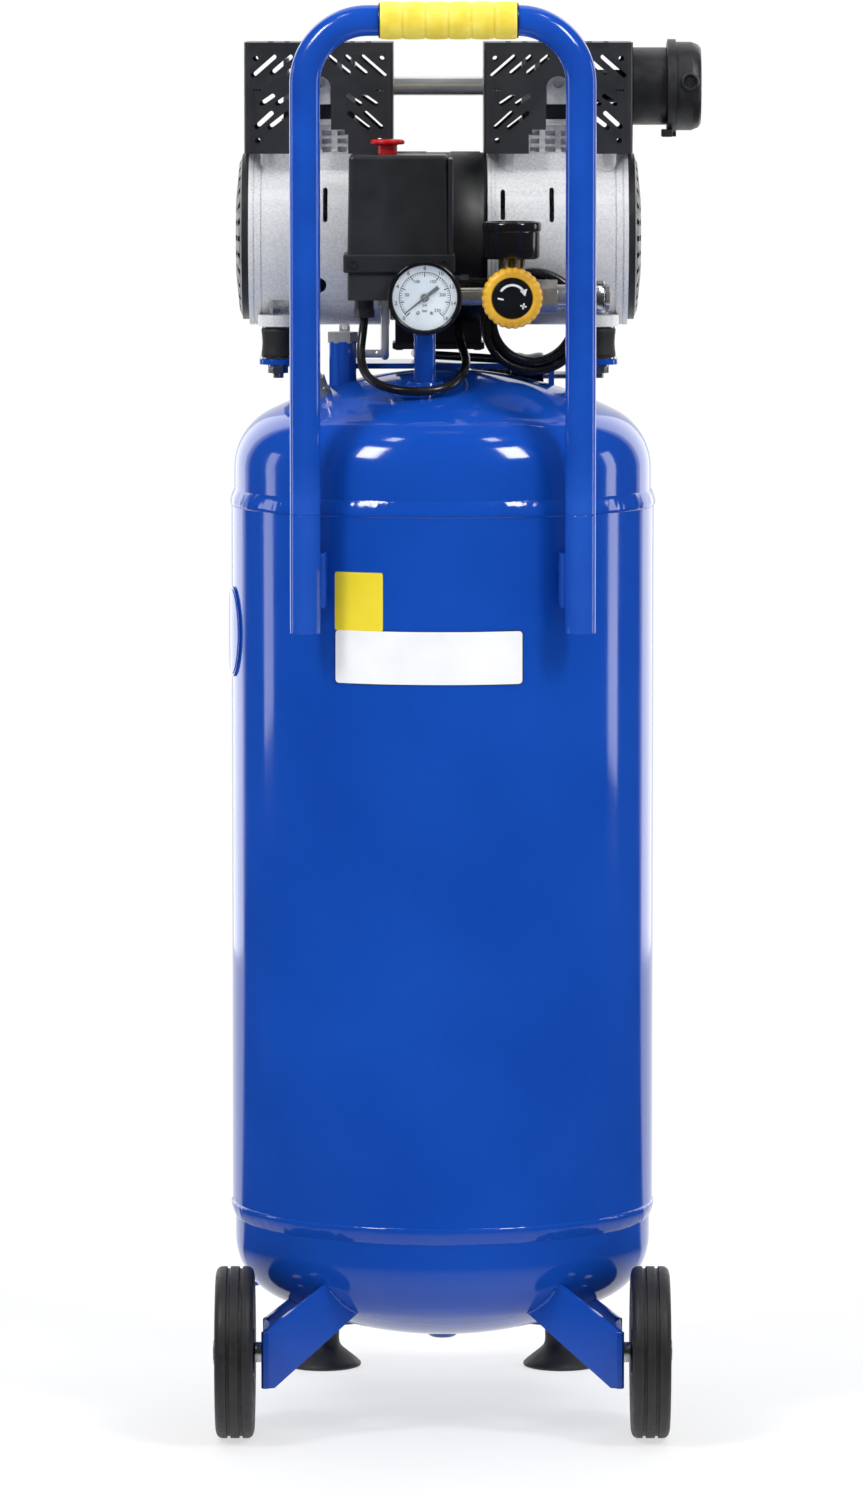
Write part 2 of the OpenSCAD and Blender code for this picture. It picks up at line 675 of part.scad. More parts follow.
module cylinder_heads() color(CAST) placed() motor_halves() translate([cyl_x, 0, head_z - motor_z]) {
    fins = 6;
    difference() {
        union() {
            translate([-head_w / 2, -head_depth / 2, 0]) cube([head_w, head_depth, 20]);
            for (i = [0:fins - 1])
                translate([-head_w / 2 + i * (head_w - 3) / (fins - 1), -head_depth / 2, 19])
                    cube([3, head_depth, 14]);
            // Screw bosses at the middle of the front and rear edges
            for (side = [-1, 1]) translate([0, side * (head_depth / 2 - 1), 0]) {
                rotate([90, 0, 0]) translate([0, 16, -6]) cylinder(d = 17, h = 12);
                translate([-8.5, -6, 0]) cube([17, 12, 16]);
            }
        }
        for (side = [-1, 1]) translate([0, side * (head_depth / 2 + 6), 16]) rotate([90, 0, 0])
            translate([0, 0, -4]) cylinder(d = 8, h = 8);
        translate([0, 0, pipe_z - head_z]) along_x(-head_w / 2 - 1, pipe_d, 8);
    }
}

// Openings of a guard's face: the origin is at the middle of its top edge, and y counts downward
module guard_slots() {
    slot_w = 3.4;
    // The two ends of each slot in the right half: x and depth, then x and depth
    slots = [
        [8, 10.5, 22, 22], [20.5, 10.5, 34, 22], [32.5, 10.5, 48, 24], [22, 39, 30, 44.5],
        [33.5, 39, 41.5, 44.5], [22.5, 51.5, 36, 62], [34.5, 51.5, 45.5, 61.5]
    ];
    for (side = [0, 1]) mirror([side, 0]) {
        for (s = slots) let (run = [s[2] - s[0], s[3] - s[1]])
            translate([s[0], s[1]]) rotate(atan2(run[1], run[0])) {
                translate([0, -slot_w / 2]) square([norm(run), slot_w]);
                for (x = [0, norm(run)]) translate([x, 0]) circle(d = slot_w, $fn = 24);
            }
        for (x = [42.8, 45, 47.2]) translate([x, 34.7]) circle(d = 1.5, $fn = 16);
        for (p = [[46, 11.7], [44.5, 71.5]]) translate(p) circle(d = 4, $fn = 24);
    }
    // Window over the head's screw boss, and the arch over the cylinder's vents
    window_w = 18;
    window_top = guard_h - 47.5;
    translate([-window_w / 2, window_top]) square([window_w, guard_h - window_top + 1]);
    translate([0, window_top]) circle(d = window_w);
    translate([-21.5, guard_h - 14]) square([43, 15]);
    translate([-19, guard_h - 17.5]) square([38, 18]);
}

module guard(filter_side) translate([cyl_x, 0, 0]) {
    size = [guard_w, guard_depth];
    inner = [guard_w - 2 * cover_t, guard_depth - 2 * cover_t];
    mid_z = (guard_z0 + guard_z1) / 2 - motor_z;
    difference() {
        translate([-size[0] / 2, -size[1] / 2, guard_z0 - motor_z])
            linear_extrude(guard_h) rounded_rect(size, 5);
        translate([-inner[0] / 2, -inner[1] / 2, guard_z0 - motor_z - 1])
            linear_extrude(guard_h - cover_t + 1) rounded_rect(inner, 3);
        translate([0, -size[1], guard_z1 - motor_z]) rotate([-90, 0, 0])
            linear_extrude(2 * size[1]) guard_slots();
        // Side walls: pipe and filter holes, and upright slots
        translate([0, 0, pipe_z - motor_z]) along_x(-size[0], pipe_d + 1, 2 * size[0]);
        if (filter_side) translate([0, 0, pipe_z - motor_z]) along_x(0, 24.6, size[0]);
        else translate([-port_shift, 0, pipe_z - motor_z]) rotate([-90, 0, 0])
            cylinder(d = 12, h = size[1]);
        for (y = [-38, -24, 24, 38]) translate([-size[0], y - 2, mid_z - 18]) cube([2 * size[0], 4, 40]);
        // Top slots
        for (x = [-36:12:36]) translate([x - 2, -34, guard_z1 - motor_z - 10]) cube([4, 68, 20]);
    }
}

module head_guard_left() color(BLACK) placed() motor_half(-1) guard(false);
module head_guard_right() color(BLACK) placed() motor_half(1) guard(true);

module cross_pipe() color(STEEL) placed() translate([-motor_left, motor_back, pipe_z]) rotate([0, 90, 0])
    translate([0, 0, -cyl_x + head_w / 2 - 6]) tube(pipe_d, 1.5, 2 * cyl_x - head_w + 12);

module air_filter_body() color(BLACK) placed() translate([filter_x0, motor_back, pipe_z]) difference() {
    union() {
        along_x(0.3, 57, filter_neck - 0.3);
        along_x((head_w - guard_w) / 2, 24, (guard_w - head_w) / 2 + 1);
    }
    along_x(-guard_w, 14, guard_w + filter_neck - 4);
    along_x(3, 51, filter_neck);
}

module air_filter_cap() color(BLACK) placed() translate([filter_x0 + filter_neck, motor_back, pipe_z]) {
    rotate([0, 90, 0]) difference() {
        rotate_extrude() polygon([
            [0, 0], [32.5, 0], [32.5, filter_cap - 7], [30.5, filter_cap - 2], [28, filter_cap],
            [0, filter_cap]
        ]);
        translate([0, 0, -1]) cylinder(d = 52, h = filter_cap - 2);
    }
    // Clamp ring and its latch
    difference() {
        along_x(0.5, 69, 6);
        along_x(-1, 64, 10);
    }
    translate([0, -6, -37]) cube([7, 12, 8]);
}

// ---------- mounts ----------

module motor_brackets() color(BLUE) placed() difference() {
    union() {
        // Folded brackets under the rubber mounts
        translate([-motor_left, 0, 0]) both_sides() difference() {
            union() {
                hull() for (y = mount_y) translate([mount_x, y, flange_z - sheet_t])
                    cylinder(d = mount_d + 3, h = sheet_t, $fn = 32);
                translate([mount_x - mount_d / 2 - 1.5, mount_y[0] - 8, dome_tangent])
                    cube([sheet_t, mount_pitch + 16, flange_z - dome_tangent]);
            }
            for (y = mount_y) translate([mount_x, y, 0]) cylinder(d = mount_bolt + 0.4, h = flange_z + 1);
        }
        // Plate across the crown of the tank, with its edges turned down
        difference() {
            translate([-82, 14, dome_top - 14]) cube([164, 66, 17.5]);
            translate([-78, 0, dome_top - 30]) cube([156, 100, 29.5]);
        }
    }
    on_top_head() head_solid();
}

module rubber_mounts() color(BLACK) placed() translate([-motor_left, 0, flange_z]) both_sides()
    for (y = mount_y) translate([mount_x, y, 0]) tube(mount_d, (mount_d - mount_bolt) / 2, mount_h);

module fasteners() color(STEEL) placed() {
    // Stud, top nut and bottom nut of each rubber mount
    translate([-motor_left, 0, flange_z]) both_sides() for (y = mount_y) translate([mount_x, y, 0]) {
        translate([0, 0, -sheet_t - 10])
            cylinder(d = mount_bolt, h = mount_h + sheet_t + lug_t + nut_h + 10);
        translate([0, 0, -sheet_t - nut_h - 1.5]) hex(mount_bolt * 1.6, nut_h);
        translate([0, 0, -sheet_t - 1.5]) cylinder(d = mount_bolt * 2, h = 1.5);
        translate([0, 0, mount_h + lug_t]) hex(mount_bolt * 1.6, nut_h);
    }
    // Bolt and nut of each rubber foot
    both_sides() translate([foot_x, foot_back, 0]) {
        translate([0, 0, foot_h * 0.5]) cylinder(d = mount_bolt, h = foot_h * 0.5 + sheet_t + 9);
        translate([0, 0, foot_h + sheet_t]) hex(mount_bolt * 1.6, 6.5);
    }
}

// ---------- controls ----------

module gauge_riser() color(BLUE) placed() difference() {
    translate([riser_x, ctl_y, dome_top - 30]) {
        cylinder(d = riser_d, h = control_rise - block_h / 2 + 30);
        cylinder(d = riser_d + 7, h = 24);
    }
    on_top_head() head_solid();
    translate([riser_x, ctl_y, dome_top - 31]) cylinder(d = riser_d - 6, h = 200);
}

module manifold() color(BRASS) placed() translate([riser_x, ctl_y, ctl_z]) difference() {
    union() {
        translate([-block_w / 2, -block_front, -block_h / 2]) cube([block_w, block_d, block_h]);
        along_x(block_w / 2 - 1, 13, regulator_x - riser_x - block_w / 2 - reg_body_d / 2 + 1);
    }
    translate([0, 0, -block_h]) cylinder(d = 8, h = block_h);
    along_x(0, 6, 200);
}

// Gauge case with its face up: rim, dial floor, the needle's post and the threaded stem behind
module gauge_case(d, depth, stem) difference() {
    union() {
        translate([0, 0, -stem]) cylinder(d = 10, h = stem + 1);
        difference() {
            union() {
                cylinder(d = d, h = depth);
                translate([0, 0, depth - 5]) cylinder(d = d + 1.6, h = 4);
            }
            translate([0, 0, depth - 6]) cylinder(d = d - 5, h = 7);
        }
        translate([0, 0, depth - 7]) cylinder(d = 2.4, h = 4.2, $fn = 24);
    }
    translate([0, 0, -stem - 1]) cylinder(d = 4, h = stem + 5, $fn = 24);
}

module gauge_needle(d, depth) translate([0, 0, depth - 4.6]) rotate([0, 0, 218]) difference() {
    union() {
        cylinder(d = 7, h = 1, $fn = 32);
        linear_extrude(1) polygon([[-0.28 * d, -1.4], [-0.28 * d, 1.4], [0.4 * d, 0.3], [0.4 * d, -0.3]]);
    }
    translate([0, 0, -1]) cylinder(d = 2.4 + 2 * run_gap, h = 3, $fn = 24);
}

module gauge_lens(d, depth) translate([0, 0, depth - 2.2]) cylinder(d = d - 5, h = 1.4);

module tank_gauge_at() translate([riser_x, ctl_y - block_front, ctl_z]) rotate([90, 0, 0]) children();
module outlet_gauge_at() translate([regulator_x, ctl_y, ctl_z + reg_body_d / 2 + 11]) children();

module tank_gauge() color("#15161a") placed() tank_gauge_at() gauge_case(gauge_d, gauge_depth, 0);
module tank_gauge_needle() color("#101010") placed() tank_gauge_at() gauge_needle(gauge_d, gauge_depth);
module outlet_gauge() color("#15161a") placed() outlet_gauge_at()
    gauge_case(outlet_gauge_d, outlet_gauge_depth, 0);
module outlet_gauge_needle() color("#101010") placed() outlet_gauge_at()
    gauge_needle(outlet_gauge_d, outlet_gauge_depth);
module gauge_lenses() color("#dfe9f0") placed() {
    tank_gauge_at() gauge_lens(gauge_d, gauge_depth);
    outlet_gauge_at() gauge_lens(outlet_gauge_d, outlet_gauge_depth);
}

module regulator_body() color(BRASS) placed() translate([regulator_x, ctl_y, ctl_z]) difference() {
    union() {
        rotate([90, 0, 0]) translate([0, 0, -14]) cylinder(d = reg_body_d, h = 30);
        rotate([90, 0, 0]) translate([0, 0, 12]) cylinder(d = 12, h = 20);
        along_x(-reg_body_d / 2, 18, reg_body_d + 2);
        cylinder(d = 14, h = reg_body_d / 2 + 5);
        translate([0, 0, reg_body_d / 2 + 3]) hex(17, 8);
    }
    along_x(-40, 6, 80);
}

module regulator_knob() color("#e8b92a") placed() translate([regulator_x, ctl_y - 17, ctl_z])
    rotate([90, 0, 0]) difference() {
        rotate_extrude() polygon([
            [0, 0], [17, 0], [17, 2], [knob_d / 2 - 1.5, 4], [knob_d / 2, 6], [knob_d / 2, 18],
            [knob_d / 2 - 3, 22], [15, 22.6], [14, 21.6], [0, 21.6]
        ]);
        translate([0, 0, -1]) cylinder(d = 12 + 2 * run_gap, h = 17);
        for (i = [0:23]) rotate([0, 0, i * 15]) translate([knob_d / 2 + 0.6, 0, 3])
            cylinder(d = 3.4, h = 20, $fn = 16);
    }

module coupler_body() color(STEEL) placed() translate([coupler_x0, ctl_y, ctl_z]) difference() {
    union() {
        rotate([0, 90, 0]) hex(21, 15);
        along_x(0, 17, 53);
        along_x(50, 19, 3);
    }
    along_x(28, coupler_bore, 40);
    along_x(-1, 6, 40);
}

module coupler_sleeve() color("#d9dadd") placed() translate([coupler_x0 + 23, ctl_y, ctl_z]) difference() {
    union() {
        along_x(0, 24, 26);
        along_x(8, 25.5, 3);
        along_x(14, 25.5, 3);
    }
    along_x(-1, 17 + 2 * run_gap, 30);
}

module switch_base() color(BLACK) placed() difference() {
    translate([switch_x0 + 3, switch_y0 + 3, base_z0]) linear_extrude(cover_z0 - base_z0)
        rounded_rect([switch_w - 6, switch_depth - 6], 4);
    // Seat of the manifold block
    translate([riser_x - block_w / 2, switch_y0 - 5, base_z0 - 1])
        cube([block_w, ctl_y + block_d - block_front - switch_y0 + 5, ctl_z + block_h / 2 - base_z0 + 1]);
    translate([riser_x, ctl_y, ctl_z]) along_x(0, 13, switch_w);
}

module switch_cover() color(BLACK) placed() difference() {
    hull() {
        translate([switch_x0, switch_y0, cover_z0]) linear_extrude(1)
            rounded_rect([switch_w, switch_depth], 4, $fn = 32);
        translate([switch_x0 + 2, switch_y0 + 2, cover_z1 - 4]) linear_extrude(1)
            rounded_rect([switch_w - 4, switch_depth - 4], 4, $fn = 32);
        translate([switch_x0 + 4.5, switch_y0 + 4.5, cover_z1 - 1]) linear_extrude(1)
            rounded_rect([switch_w - 9, switch_depth - 9], 4, $fn = 32);
    }
    translate([switch_x0 + cover_t + 2, switch_y0 + cover_t + 2, cover_z0 - 1])
        cube([switch_w - 2 * cover_t - 4, switch_depth - 2 * cover_t - 4, switch_h - cover_t]);
    switch_knob_at() translate([0, 0, -20]) cylinder(d = 14 + 2 * slide_gap, h = 30);
}

module switch_knob_at() translate([-40, switch_y0 + switch_depth / 2, cover_z1]) children();

module switch_knob() color("#c3141b") placed() switch_knob_at() rotate_extrude() polygon([
    [0, -18], [7, -18], [7, 7], [11.5, 7.5], [12.5, 8.5], [12.3, 10], [10, 11], [0, 11.3]
]);

module cable_glands() color(BLACK) placed() {
    translate([-57, -50, base_z0 - 13]) {
        hex(13, 6);
        translate([0, 0, 5.9]) cylinder(d = 14, h = 7.1);
    }
    translate([switch_x0 + switch_w - 3, -32, base_z0 + 10]) {
        along_x(0, 14, 7);
        translate([6.9, 0, 0]) rotate([0, 90, 0]) hex(13, 6);
    }
}

// Stands a fitting on the upper head's crown, square to the surface
module on_crown(r, turn) rotate([0, 0, turn]) translate([r, 0, dome_z(r)])
    rotate([0, asin(r / crown_r), 0]) children();

module safety_valve() color(BRASS) placed() difference() {
    on_crown(safety_r, safety_turn) {
        translate([0, 0, -8]) cylinder(d = 17, h = 14);
        translate([0, 0, 6]) hex(14, 8);
        translate([0, 0, 14]) cylinder(d = 11, h = 12);
        translate([0, 0, 26]) cylinder(d = 3, h = 8, $fn = 24);
    }
    on_top_head() head_solid();
}

module safety_valve_ring() color(STEEL) placed() on_crown(safety_r, safety_turn) translate([0, 0, 26.4])
    difference() {
        union() {
            cylinder(d = 7, h = 5);
            translate([0, 0, 14]) rotate([90, 0, 0]) rotate_extrude()
                translate([9.6, 0]) circle(d = 2, $fn = 16);
        }
        translate([0, 0, -1]) cylinder(d = 3 + 2 * run_gap, h = 9, $fn = 24);
    }

// Quarter bend of a pipe in the XY plane: from along +X at the origin, turning to +Y
module quarter(d, r) translate([0, r, 0]) rotate([0, 0, -90]) rotate_extrude(angle = 90)
    translate([r, 0]) circle(d = d, $fn = 32);

// Check valve on the dome, the delivery pipe into it from the rear of the left head, and the
// unloader tube from it to the foot of the pressure switch
module air_pipes() color(STEEL) placed() {
    port_y = motor_back + head_depth / 2;
    out = 20;
    run_z = flange_z + 9;
    bend = 14;
    delivery_d = 9;
    unloader_d = 6;
    translate([pipe_x, 0, 0]) {
        // Out of the head, down behind the motor, and forward under it
        translate([0, port_y, pipe_z]) rotate([-90, 0, 0]) {
            cylinder(d = delivery_d, h = out);
            hex(14, 8);
        }
        translate([0, port_y + out, pipe_z]) rotate([0, 0, 90]) rotate([-90, 0, 0])
            quarter(delivery_d, bend);
        translate([0, port_y + out + bend, run_z + bend])
            cylinder(d = delivery_d, h = pipe_z - run_z - 2 * bend);
        translate([0, port_y + out, run_z]) rotate([0, 0, 90]) rotate([90, 0, 0])
            quarter(delivery_d, bend);
        translate([0, check_y, run_z]) rotate([-90, 0, 0])
            cylinder(d = delivery_d, h = port_y + out - check_y);
        translate([0, check_y + 9, run_z]) rotate([-90, 0, 0]) hex(14, 9);
        difference() {
            union() {
                translate([0, check_y, dome_tangent]) cylinder(d = 20, h = run_z + 4 - dome_tangent);
                translate([0, check_y, run_z + 3]) hex(19, 8);
            }
            translate([-pipe_x, 0, 0]) on_top_head() head_solid();
        }
    }
    // Unloader: right from the valve, forward, then up
    translate([pipe_x, check_y, run_z - 5]) {
        rise_x = unloader_x - pipe_x;
        small = 8;
        rise_y = unloader_y - check_y;
        rotate([0, 90, 0]) cylinder(d = unloader_d, h = rise_x - small);
        translate([rise_x - small, 0, 0]) mirror([0, 1, 0]) quarter(unloader_d, small);
        translate([rise_x, -small, 0]) rotate([90, 0, 0]) cylinder(d = unloader_d, h = -rise_y - 2 * small);
        translate([rise_x, rise_y + small, 0]) rotate([0, 0, -90]) rotate([90, 0, 0])
            quarter(unloader_d, small);
        translate([rise_x, rise_y, small]) cylinder(d = unloader_d, h = base_z0 - run_z + 5 - small);
        translate([rise_x, rise_y, base_z0 - run_z]) hex(9, 5);
    }
}

// ---------- cords ----------

module above_tank() placed() translate([0, 0, dome_top]) children();

module motor_lead() color(BLACK) above_tank() swept_tube(smooth(MOTOR_LEAD, 3), motor_cord_d);

module mains_lead() color(BLACK) above_tank() swept_tube(smooth(MAINS_LEAD, 2), cord_d);

module mains_coil() color(BLACK) above_tank() translate(coil_c) rotate([90, 0, 0])
    translate([0, 0, -coil_w / 2]) rotate_extrude() translate([coil_r[0], 0])
        rounded_rect([coil_r[1] - coil_r[0], coil_w], 6);

module mains_tail() color(BLACK) above_tank() swept_tube(smooth(MAINS_TAIL, 2), cord_d);

module mains_plug() color(BLACK) above_tank() translate(plug_at) rotate([0, 90, 0]) {
    relief_len = 24;
    body_len = 26;
    cylinder(d1 = 11, d2 = 18, h = relief_len);
    translate([0, 0, relief_len - 0.1]) cylinder(d = 34, h = body_len);
    for (side = [-1, 1]) translate([0, side * 9.5, relief_len + body_len - 1])
        cylinder(d = 4.8, h = 19, $fn = 24);
}

tank_shell();
tank_top_head();
tank_bottom_head();
weld_seams();
motor_brackets();
rubber_mounts();
fasteners();
handle_tube();
handle_grip();
handle_sockets();
wheel_brackets();
axle_bolts();
wheel_rim_left();
wheel_rim_right();
tyre_left();
tyre_right();
foot_legs();
rubber_feet();
drain_valve();
drain_lever();
stator_housing();
crankcase_left();
crankcase_right();
fan_grilles();
motor_shaft();
motor_fans();
shaft_bearings();
cylinders();
piston_left();
piston_right();
valve_plates();
cylinder_heads();
head_guard_left();
head_guard_right();
cross_pipe();
air_filter_body();
air_filter_cap();
switch_base();
switch_cover();
switch_knob();
cable_glands();
manifold();
gauge_riser();
tank_gauge();
tank_gauge_needle();
gauge_lenses();
regulator_body();
regulator_knob();
outlet_gauge();
outlet_gauge_needle();
coupler_body();
coupler_sleeve();
safety_valve();
safety_valve_ring();
air_pipes();
motor_lead();
mains_lead();
mains_coil();
mains_tail();
mains_plug();
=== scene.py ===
import bpy
import bmesh
import json
import math
from mathutils import Matrix, Vector


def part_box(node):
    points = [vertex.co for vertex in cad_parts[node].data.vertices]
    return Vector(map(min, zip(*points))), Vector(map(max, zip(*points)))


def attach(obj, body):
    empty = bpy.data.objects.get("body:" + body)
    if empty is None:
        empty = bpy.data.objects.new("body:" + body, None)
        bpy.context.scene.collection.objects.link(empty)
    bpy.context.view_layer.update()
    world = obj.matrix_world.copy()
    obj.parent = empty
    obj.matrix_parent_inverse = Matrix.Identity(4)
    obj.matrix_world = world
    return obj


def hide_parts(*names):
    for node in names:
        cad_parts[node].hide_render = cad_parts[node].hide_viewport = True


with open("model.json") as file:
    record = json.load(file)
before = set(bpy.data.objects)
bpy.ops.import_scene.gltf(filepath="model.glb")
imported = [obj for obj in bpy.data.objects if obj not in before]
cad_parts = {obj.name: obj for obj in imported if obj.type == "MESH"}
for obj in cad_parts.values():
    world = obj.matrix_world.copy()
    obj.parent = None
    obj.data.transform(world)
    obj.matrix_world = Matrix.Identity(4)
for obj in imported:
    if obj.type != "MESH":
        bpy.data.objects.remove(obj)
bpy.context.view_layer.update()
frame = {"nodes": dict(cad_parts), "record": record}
nodes = frame["nodes"]
record = frame["record"]
bodyOf = {node: body for body, members in record["behaviour"]["bodies"].items() for node in members}
mm = 0.001
bpy.context.scene.view_settings.view_transform = "Standard"

# the tank's own axis and the top of its dome, which the fittings are measured from
shellLow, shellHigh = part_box("tank_shell")
axisX = (shellLow.x + shellHigh.x) / 2
axisY = (shellLow.y + shellHigh.y) / 2
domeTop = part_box("tank_top_head")[1].z
tankBottom = (shellLow.z + shellHigh.z) - domeTop
right, front, up = Vector((1, 0, 0)), Vector((0, -1, 0)), Vector((0, 0, 1))
# doubles closer than this, in metres, are one point on a turned or cut piece
fineMerge = 0.000003


def at(x, y, high):
    # a point given in mm from the tank's axis and above the dome's top
    return Vector((axisX + x * mm, axisY + y * mm, domeTop + high * mm))


# working helpers

def nothingSelected():
    if bpy.context.object and bpy.context.object.mode != "OBJECT":
        bpy.ops.object.mode_set(mode="OBJECT")
    bpy.ops.object.select_all(action="DESELECT")


def pick(*objs):
    nothingSelected()
    for obj in objs:
        obj.select_set(True)
    bpy.context.view_layer.objects.active = objs[-1]
    return objs[-1]


def justAdded(name):
    obj = bpy.context.object
    obj.name = obj.data.name = name
    return obj


def placeInMesh(obj):
    pick(obj)
    bpy.ops.object.transform_apply(location=True, rotation=True, scale=True)
    return obj


def modify(obj, kind, **settings):
    pick(obj)
    mod = obj.modifiers.new(kind.title(), kind)
    for key, value in settings.items():
        setattr(mod, key, value)
    bpy.ops.object.modifier_apply(modifier=mod.name)
    return obj


def selectFaces(obj, wanted):
    # wanted gets a face's middle and its normal; leaves the object in edit mode
    pick(obj)
    bpy.ops.object.mode_set(mode="EDIT")
    bpy.ops.mesh.select_mode(type="FACE")
    bpy.ops.mesh.select_all(action="DESELECT")
    mesh = bmesh.from_edit_mesh(obj.data)
    for face in mesh.faces:
        face.select_set(bool(wanted(face.calc_center_median(), face.normal)))
    bmesh.update_edit_mesh(obj.data)


def closeUp(obj, smooth, merge=0.00001):
    # merges doubles, turns the faces outward and shades the round parts smooth
    pick(obj)
    bpy.ops.object.mode_set(mode="EDIT")
    bpy.ops.mesh.select_all(action="SELECT")
    bpy.ops.mesh.remove_doubles(threshold=merge)
    bpy.ops.mesh.normals_make_consistent(inside=False)
    bpy.ops.object.mode_set(mode="OBJECT")
    bpy.ops.object.shade_smooth_by_angle(angle=math.radians(smooth))
    return obj


def rounded(obj, widthMm, segments=2):
    # softens the edges as a tool or a press leaves them, and keeps the flats flat
    modify(obj, "BEVEL", width=widthMm * mm, segments=segments, limit_method="ANGLE",
           angle_limit=math.radians(30))
    pick(obj)
    bpy.ops.object.shade_smooth_by_angle(angle=math.radians(50))
    return modify(obj, "WEIGHTED_NORMAL", keep_sharp=True, weight=50)


def joined(name, parts):
    pick(*parts)
    if len(parts) > 1:
        bpy.ops.object.join()
    return justAdded(name)


def stood(obj, where, aim, spin=0):
    # turns a piece drawn round its own Z so that Z points along aim, and sets it down at where
    tilt = Vector((0, 0, 1)).rotation_difference(Vector(aim)).to_matrix()
    obj.rotation_euler = (tilt @ Matrix.Rotation(math.radians(spin), 3, "Z")).to_euler()
    obj.location = where
    return placeInMesh(obj)


def line(name, points):
    # a run of edges through points given in mm, left selected in edit mode
    bpy.ops.mesh.primitive_plane_add(size=1)
    obj = justAdded(name)
    bpy.ops.object.mode_set(mode="EDIT")
    bpy.ops.mesh.select_mode(type="VERT")
    bpy.ops.mesh.select_all(action="SELECT")
    bpy.ops.mesh.merge(type="CENTER")
    bpy.ops.transform.translate(value=[v * mm for v in points[0]])
    for before, after in zip(points, points[1:]):
        step = [(b - a) * mm for a, b in zip(before, after)]
        bpy.ops.mesh.extrude_region_move(TRANSFORM_OT_translate={"value": step})
    bpy.ops.mesh.select_all(action="SELECT")
    return obj


def turned(name, outline, where, steps, aim=up, smooth=50):
    # spins an outline of (radius, height) in mm round an axis through where that points along aim
    obj = line(name, [(r, 0, h) for r, h in outline])
    bpy.ops.mesh.spin(steps=steps, angle=math.tau, center=(0, 0, 0), axis=(0, 0, 1))
    bpy.ops.object.mode_set(mode="OBJECT")
    closeUp(obj, smooth, fineMerge)
    return stood(obj, where, aim)


def plate(name, outline, thickMm, where=(0, 0, 0), spin=0, edgeMm=0):
    # a flat piece cut to an outline of (x, y) in mm
    obj = line(name, [(x, y, 0) for x, y in outline] + [(*outline[0], 0)])
    bpy.ops.mesh.remove_doubles(threshold=fineMerge)
    bpy.ops.mesh.select_all(action="SELECT")
    bpy.ops.mesh.edge_face_add()
    bpy.ops.mesh.extrude_region_move(TRANSFORM_OT_translate={"value": (0, 0, thickMm * mm)})
    bpy.ops.object.mode_set(mode="OBJECT")
    closeUp(obj, 40, fineMerge)
    if edgeMm:
        rounded(obj, edgeMm)
    return stood(obj, where, up, spin)


def block(name, low, high, edgeMm, segments=3):
    # a block between two corners in metres, its edges rounded
    bpy.ops.mesh.primitive_cube_add(size=1, location=[(a + b) / 2 for a, b in zip(low, high)])
    obj = justAdded(name)
    obj.scale = [b - a for a, b in zip(low, high)]
    placeInMesh(obj)
    return rounded(obj, edgeMm, segments)


def hexagon(name, acrossMm, heightMm, where, aim, edgeMm, boreMm=0):
    # a nut or a screw's head with its corners taken off, sunk in the middle where it has a bore
    bpy.ops.mesh.primitive_cylinder_add(vertices=6, radius=acrossMm * mm / math.sqrt(3),
                                        depth=heightMm * mm, location=(0, 0, heightMm * mm / 2))
    obj = justAdded(name)
    if boreMm:
        selectFaces(obj, lambda place, normal: normal.z > 0.9)
        bpy.ops.mesh.inset(thickness=(acrossMm - boreMm) / 2 * mm)
        bpy.ops.transform.translate(value=(0, 0, -heightMm * 0.35 * mm))
        bpy.ops.object.mode_set(mode="OBJECT")
    placeInMesh(obj)
    rounded(obj, edgeMm)
    return stood(obj, where, aim)


def ribbed(name, rows, ribs, depthMm, where, aim, perRib):
    # a round grip: rows of (radius, height, share of the ribs' depth), with ribs round its rim
    bpy.ops.mesh.primitive_circle_add(vertices=ribs * perRib, radius=1)
    obj = justAdded(name)
    bpy.ops.object.mode_set(mode="EDIT")
    bpy.ops.mesh.select_all(action="SELECT")
    for _ in rows[1:]:
        bpy.ops.mesh.extrude_region_move(TRANSFORM_OT_translate={"value": (0, 0, 1)})
    bpy.ops.object.mode_set(mode="OBJECT")
    for spot in obj.data.vertices:
        radius, height, share = rows[min(len(rows) - 1, round(spot.co.z))]
        turn = math.atan2(spot.co.y, spot.co.x)
        reach = radius - depthMm * share * (0.5 - 0.5 * math.cos(turn * ribs)) ** 1.6
        spot.co = (reach * math.cos(turn) * mm, reach * math.sin(turn) * mm, height * mm)
    closeUp(obj, 55, fineMerge)
    return stood(obj, where, aim)


def roughened(obj, sizeMm, depthMm):
    # pushes the surface in and out in lumps of about sizeMm
    pattern = bpy.data.textures.new(obj.name, "CLOUDS")
    pattern.noise_scale = sizeMm * mm
    pattern.noise_depth = 2
    return modify(obj, "DISPLACE", texture=pattern, strength=depthMm * mm, mid_level=0.5,
                  texture_coords="LOCAL")


def copyOf(obj, name):
    twin = obj.copy()
    twin.data = obj.data.copy()
    twin.name = twin.data.name = name
    bpy.context.scene.collection.objects.link(twin)
    return twin


def mirrored(obj, name, planeX):
    twin = copyOf(obj, name)
    twin.data.transform(Matrix.Translation((2 * planeX, 0, 0)) @ Matrix.Scale(-1, 4, (1, 0, 0)))
    twin.data.flip_normals()
    return twin


def rides(obj, body, look, stands=()):
    obj.data.materials.clear()
    obj.data.materials.append(look)
    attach(obj, body)
    if stands:
        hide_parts(*stands)
    return obj


def camel(node):
    first, *rest = node.split("_")
    return first + "".join(word.title() for word in rest)


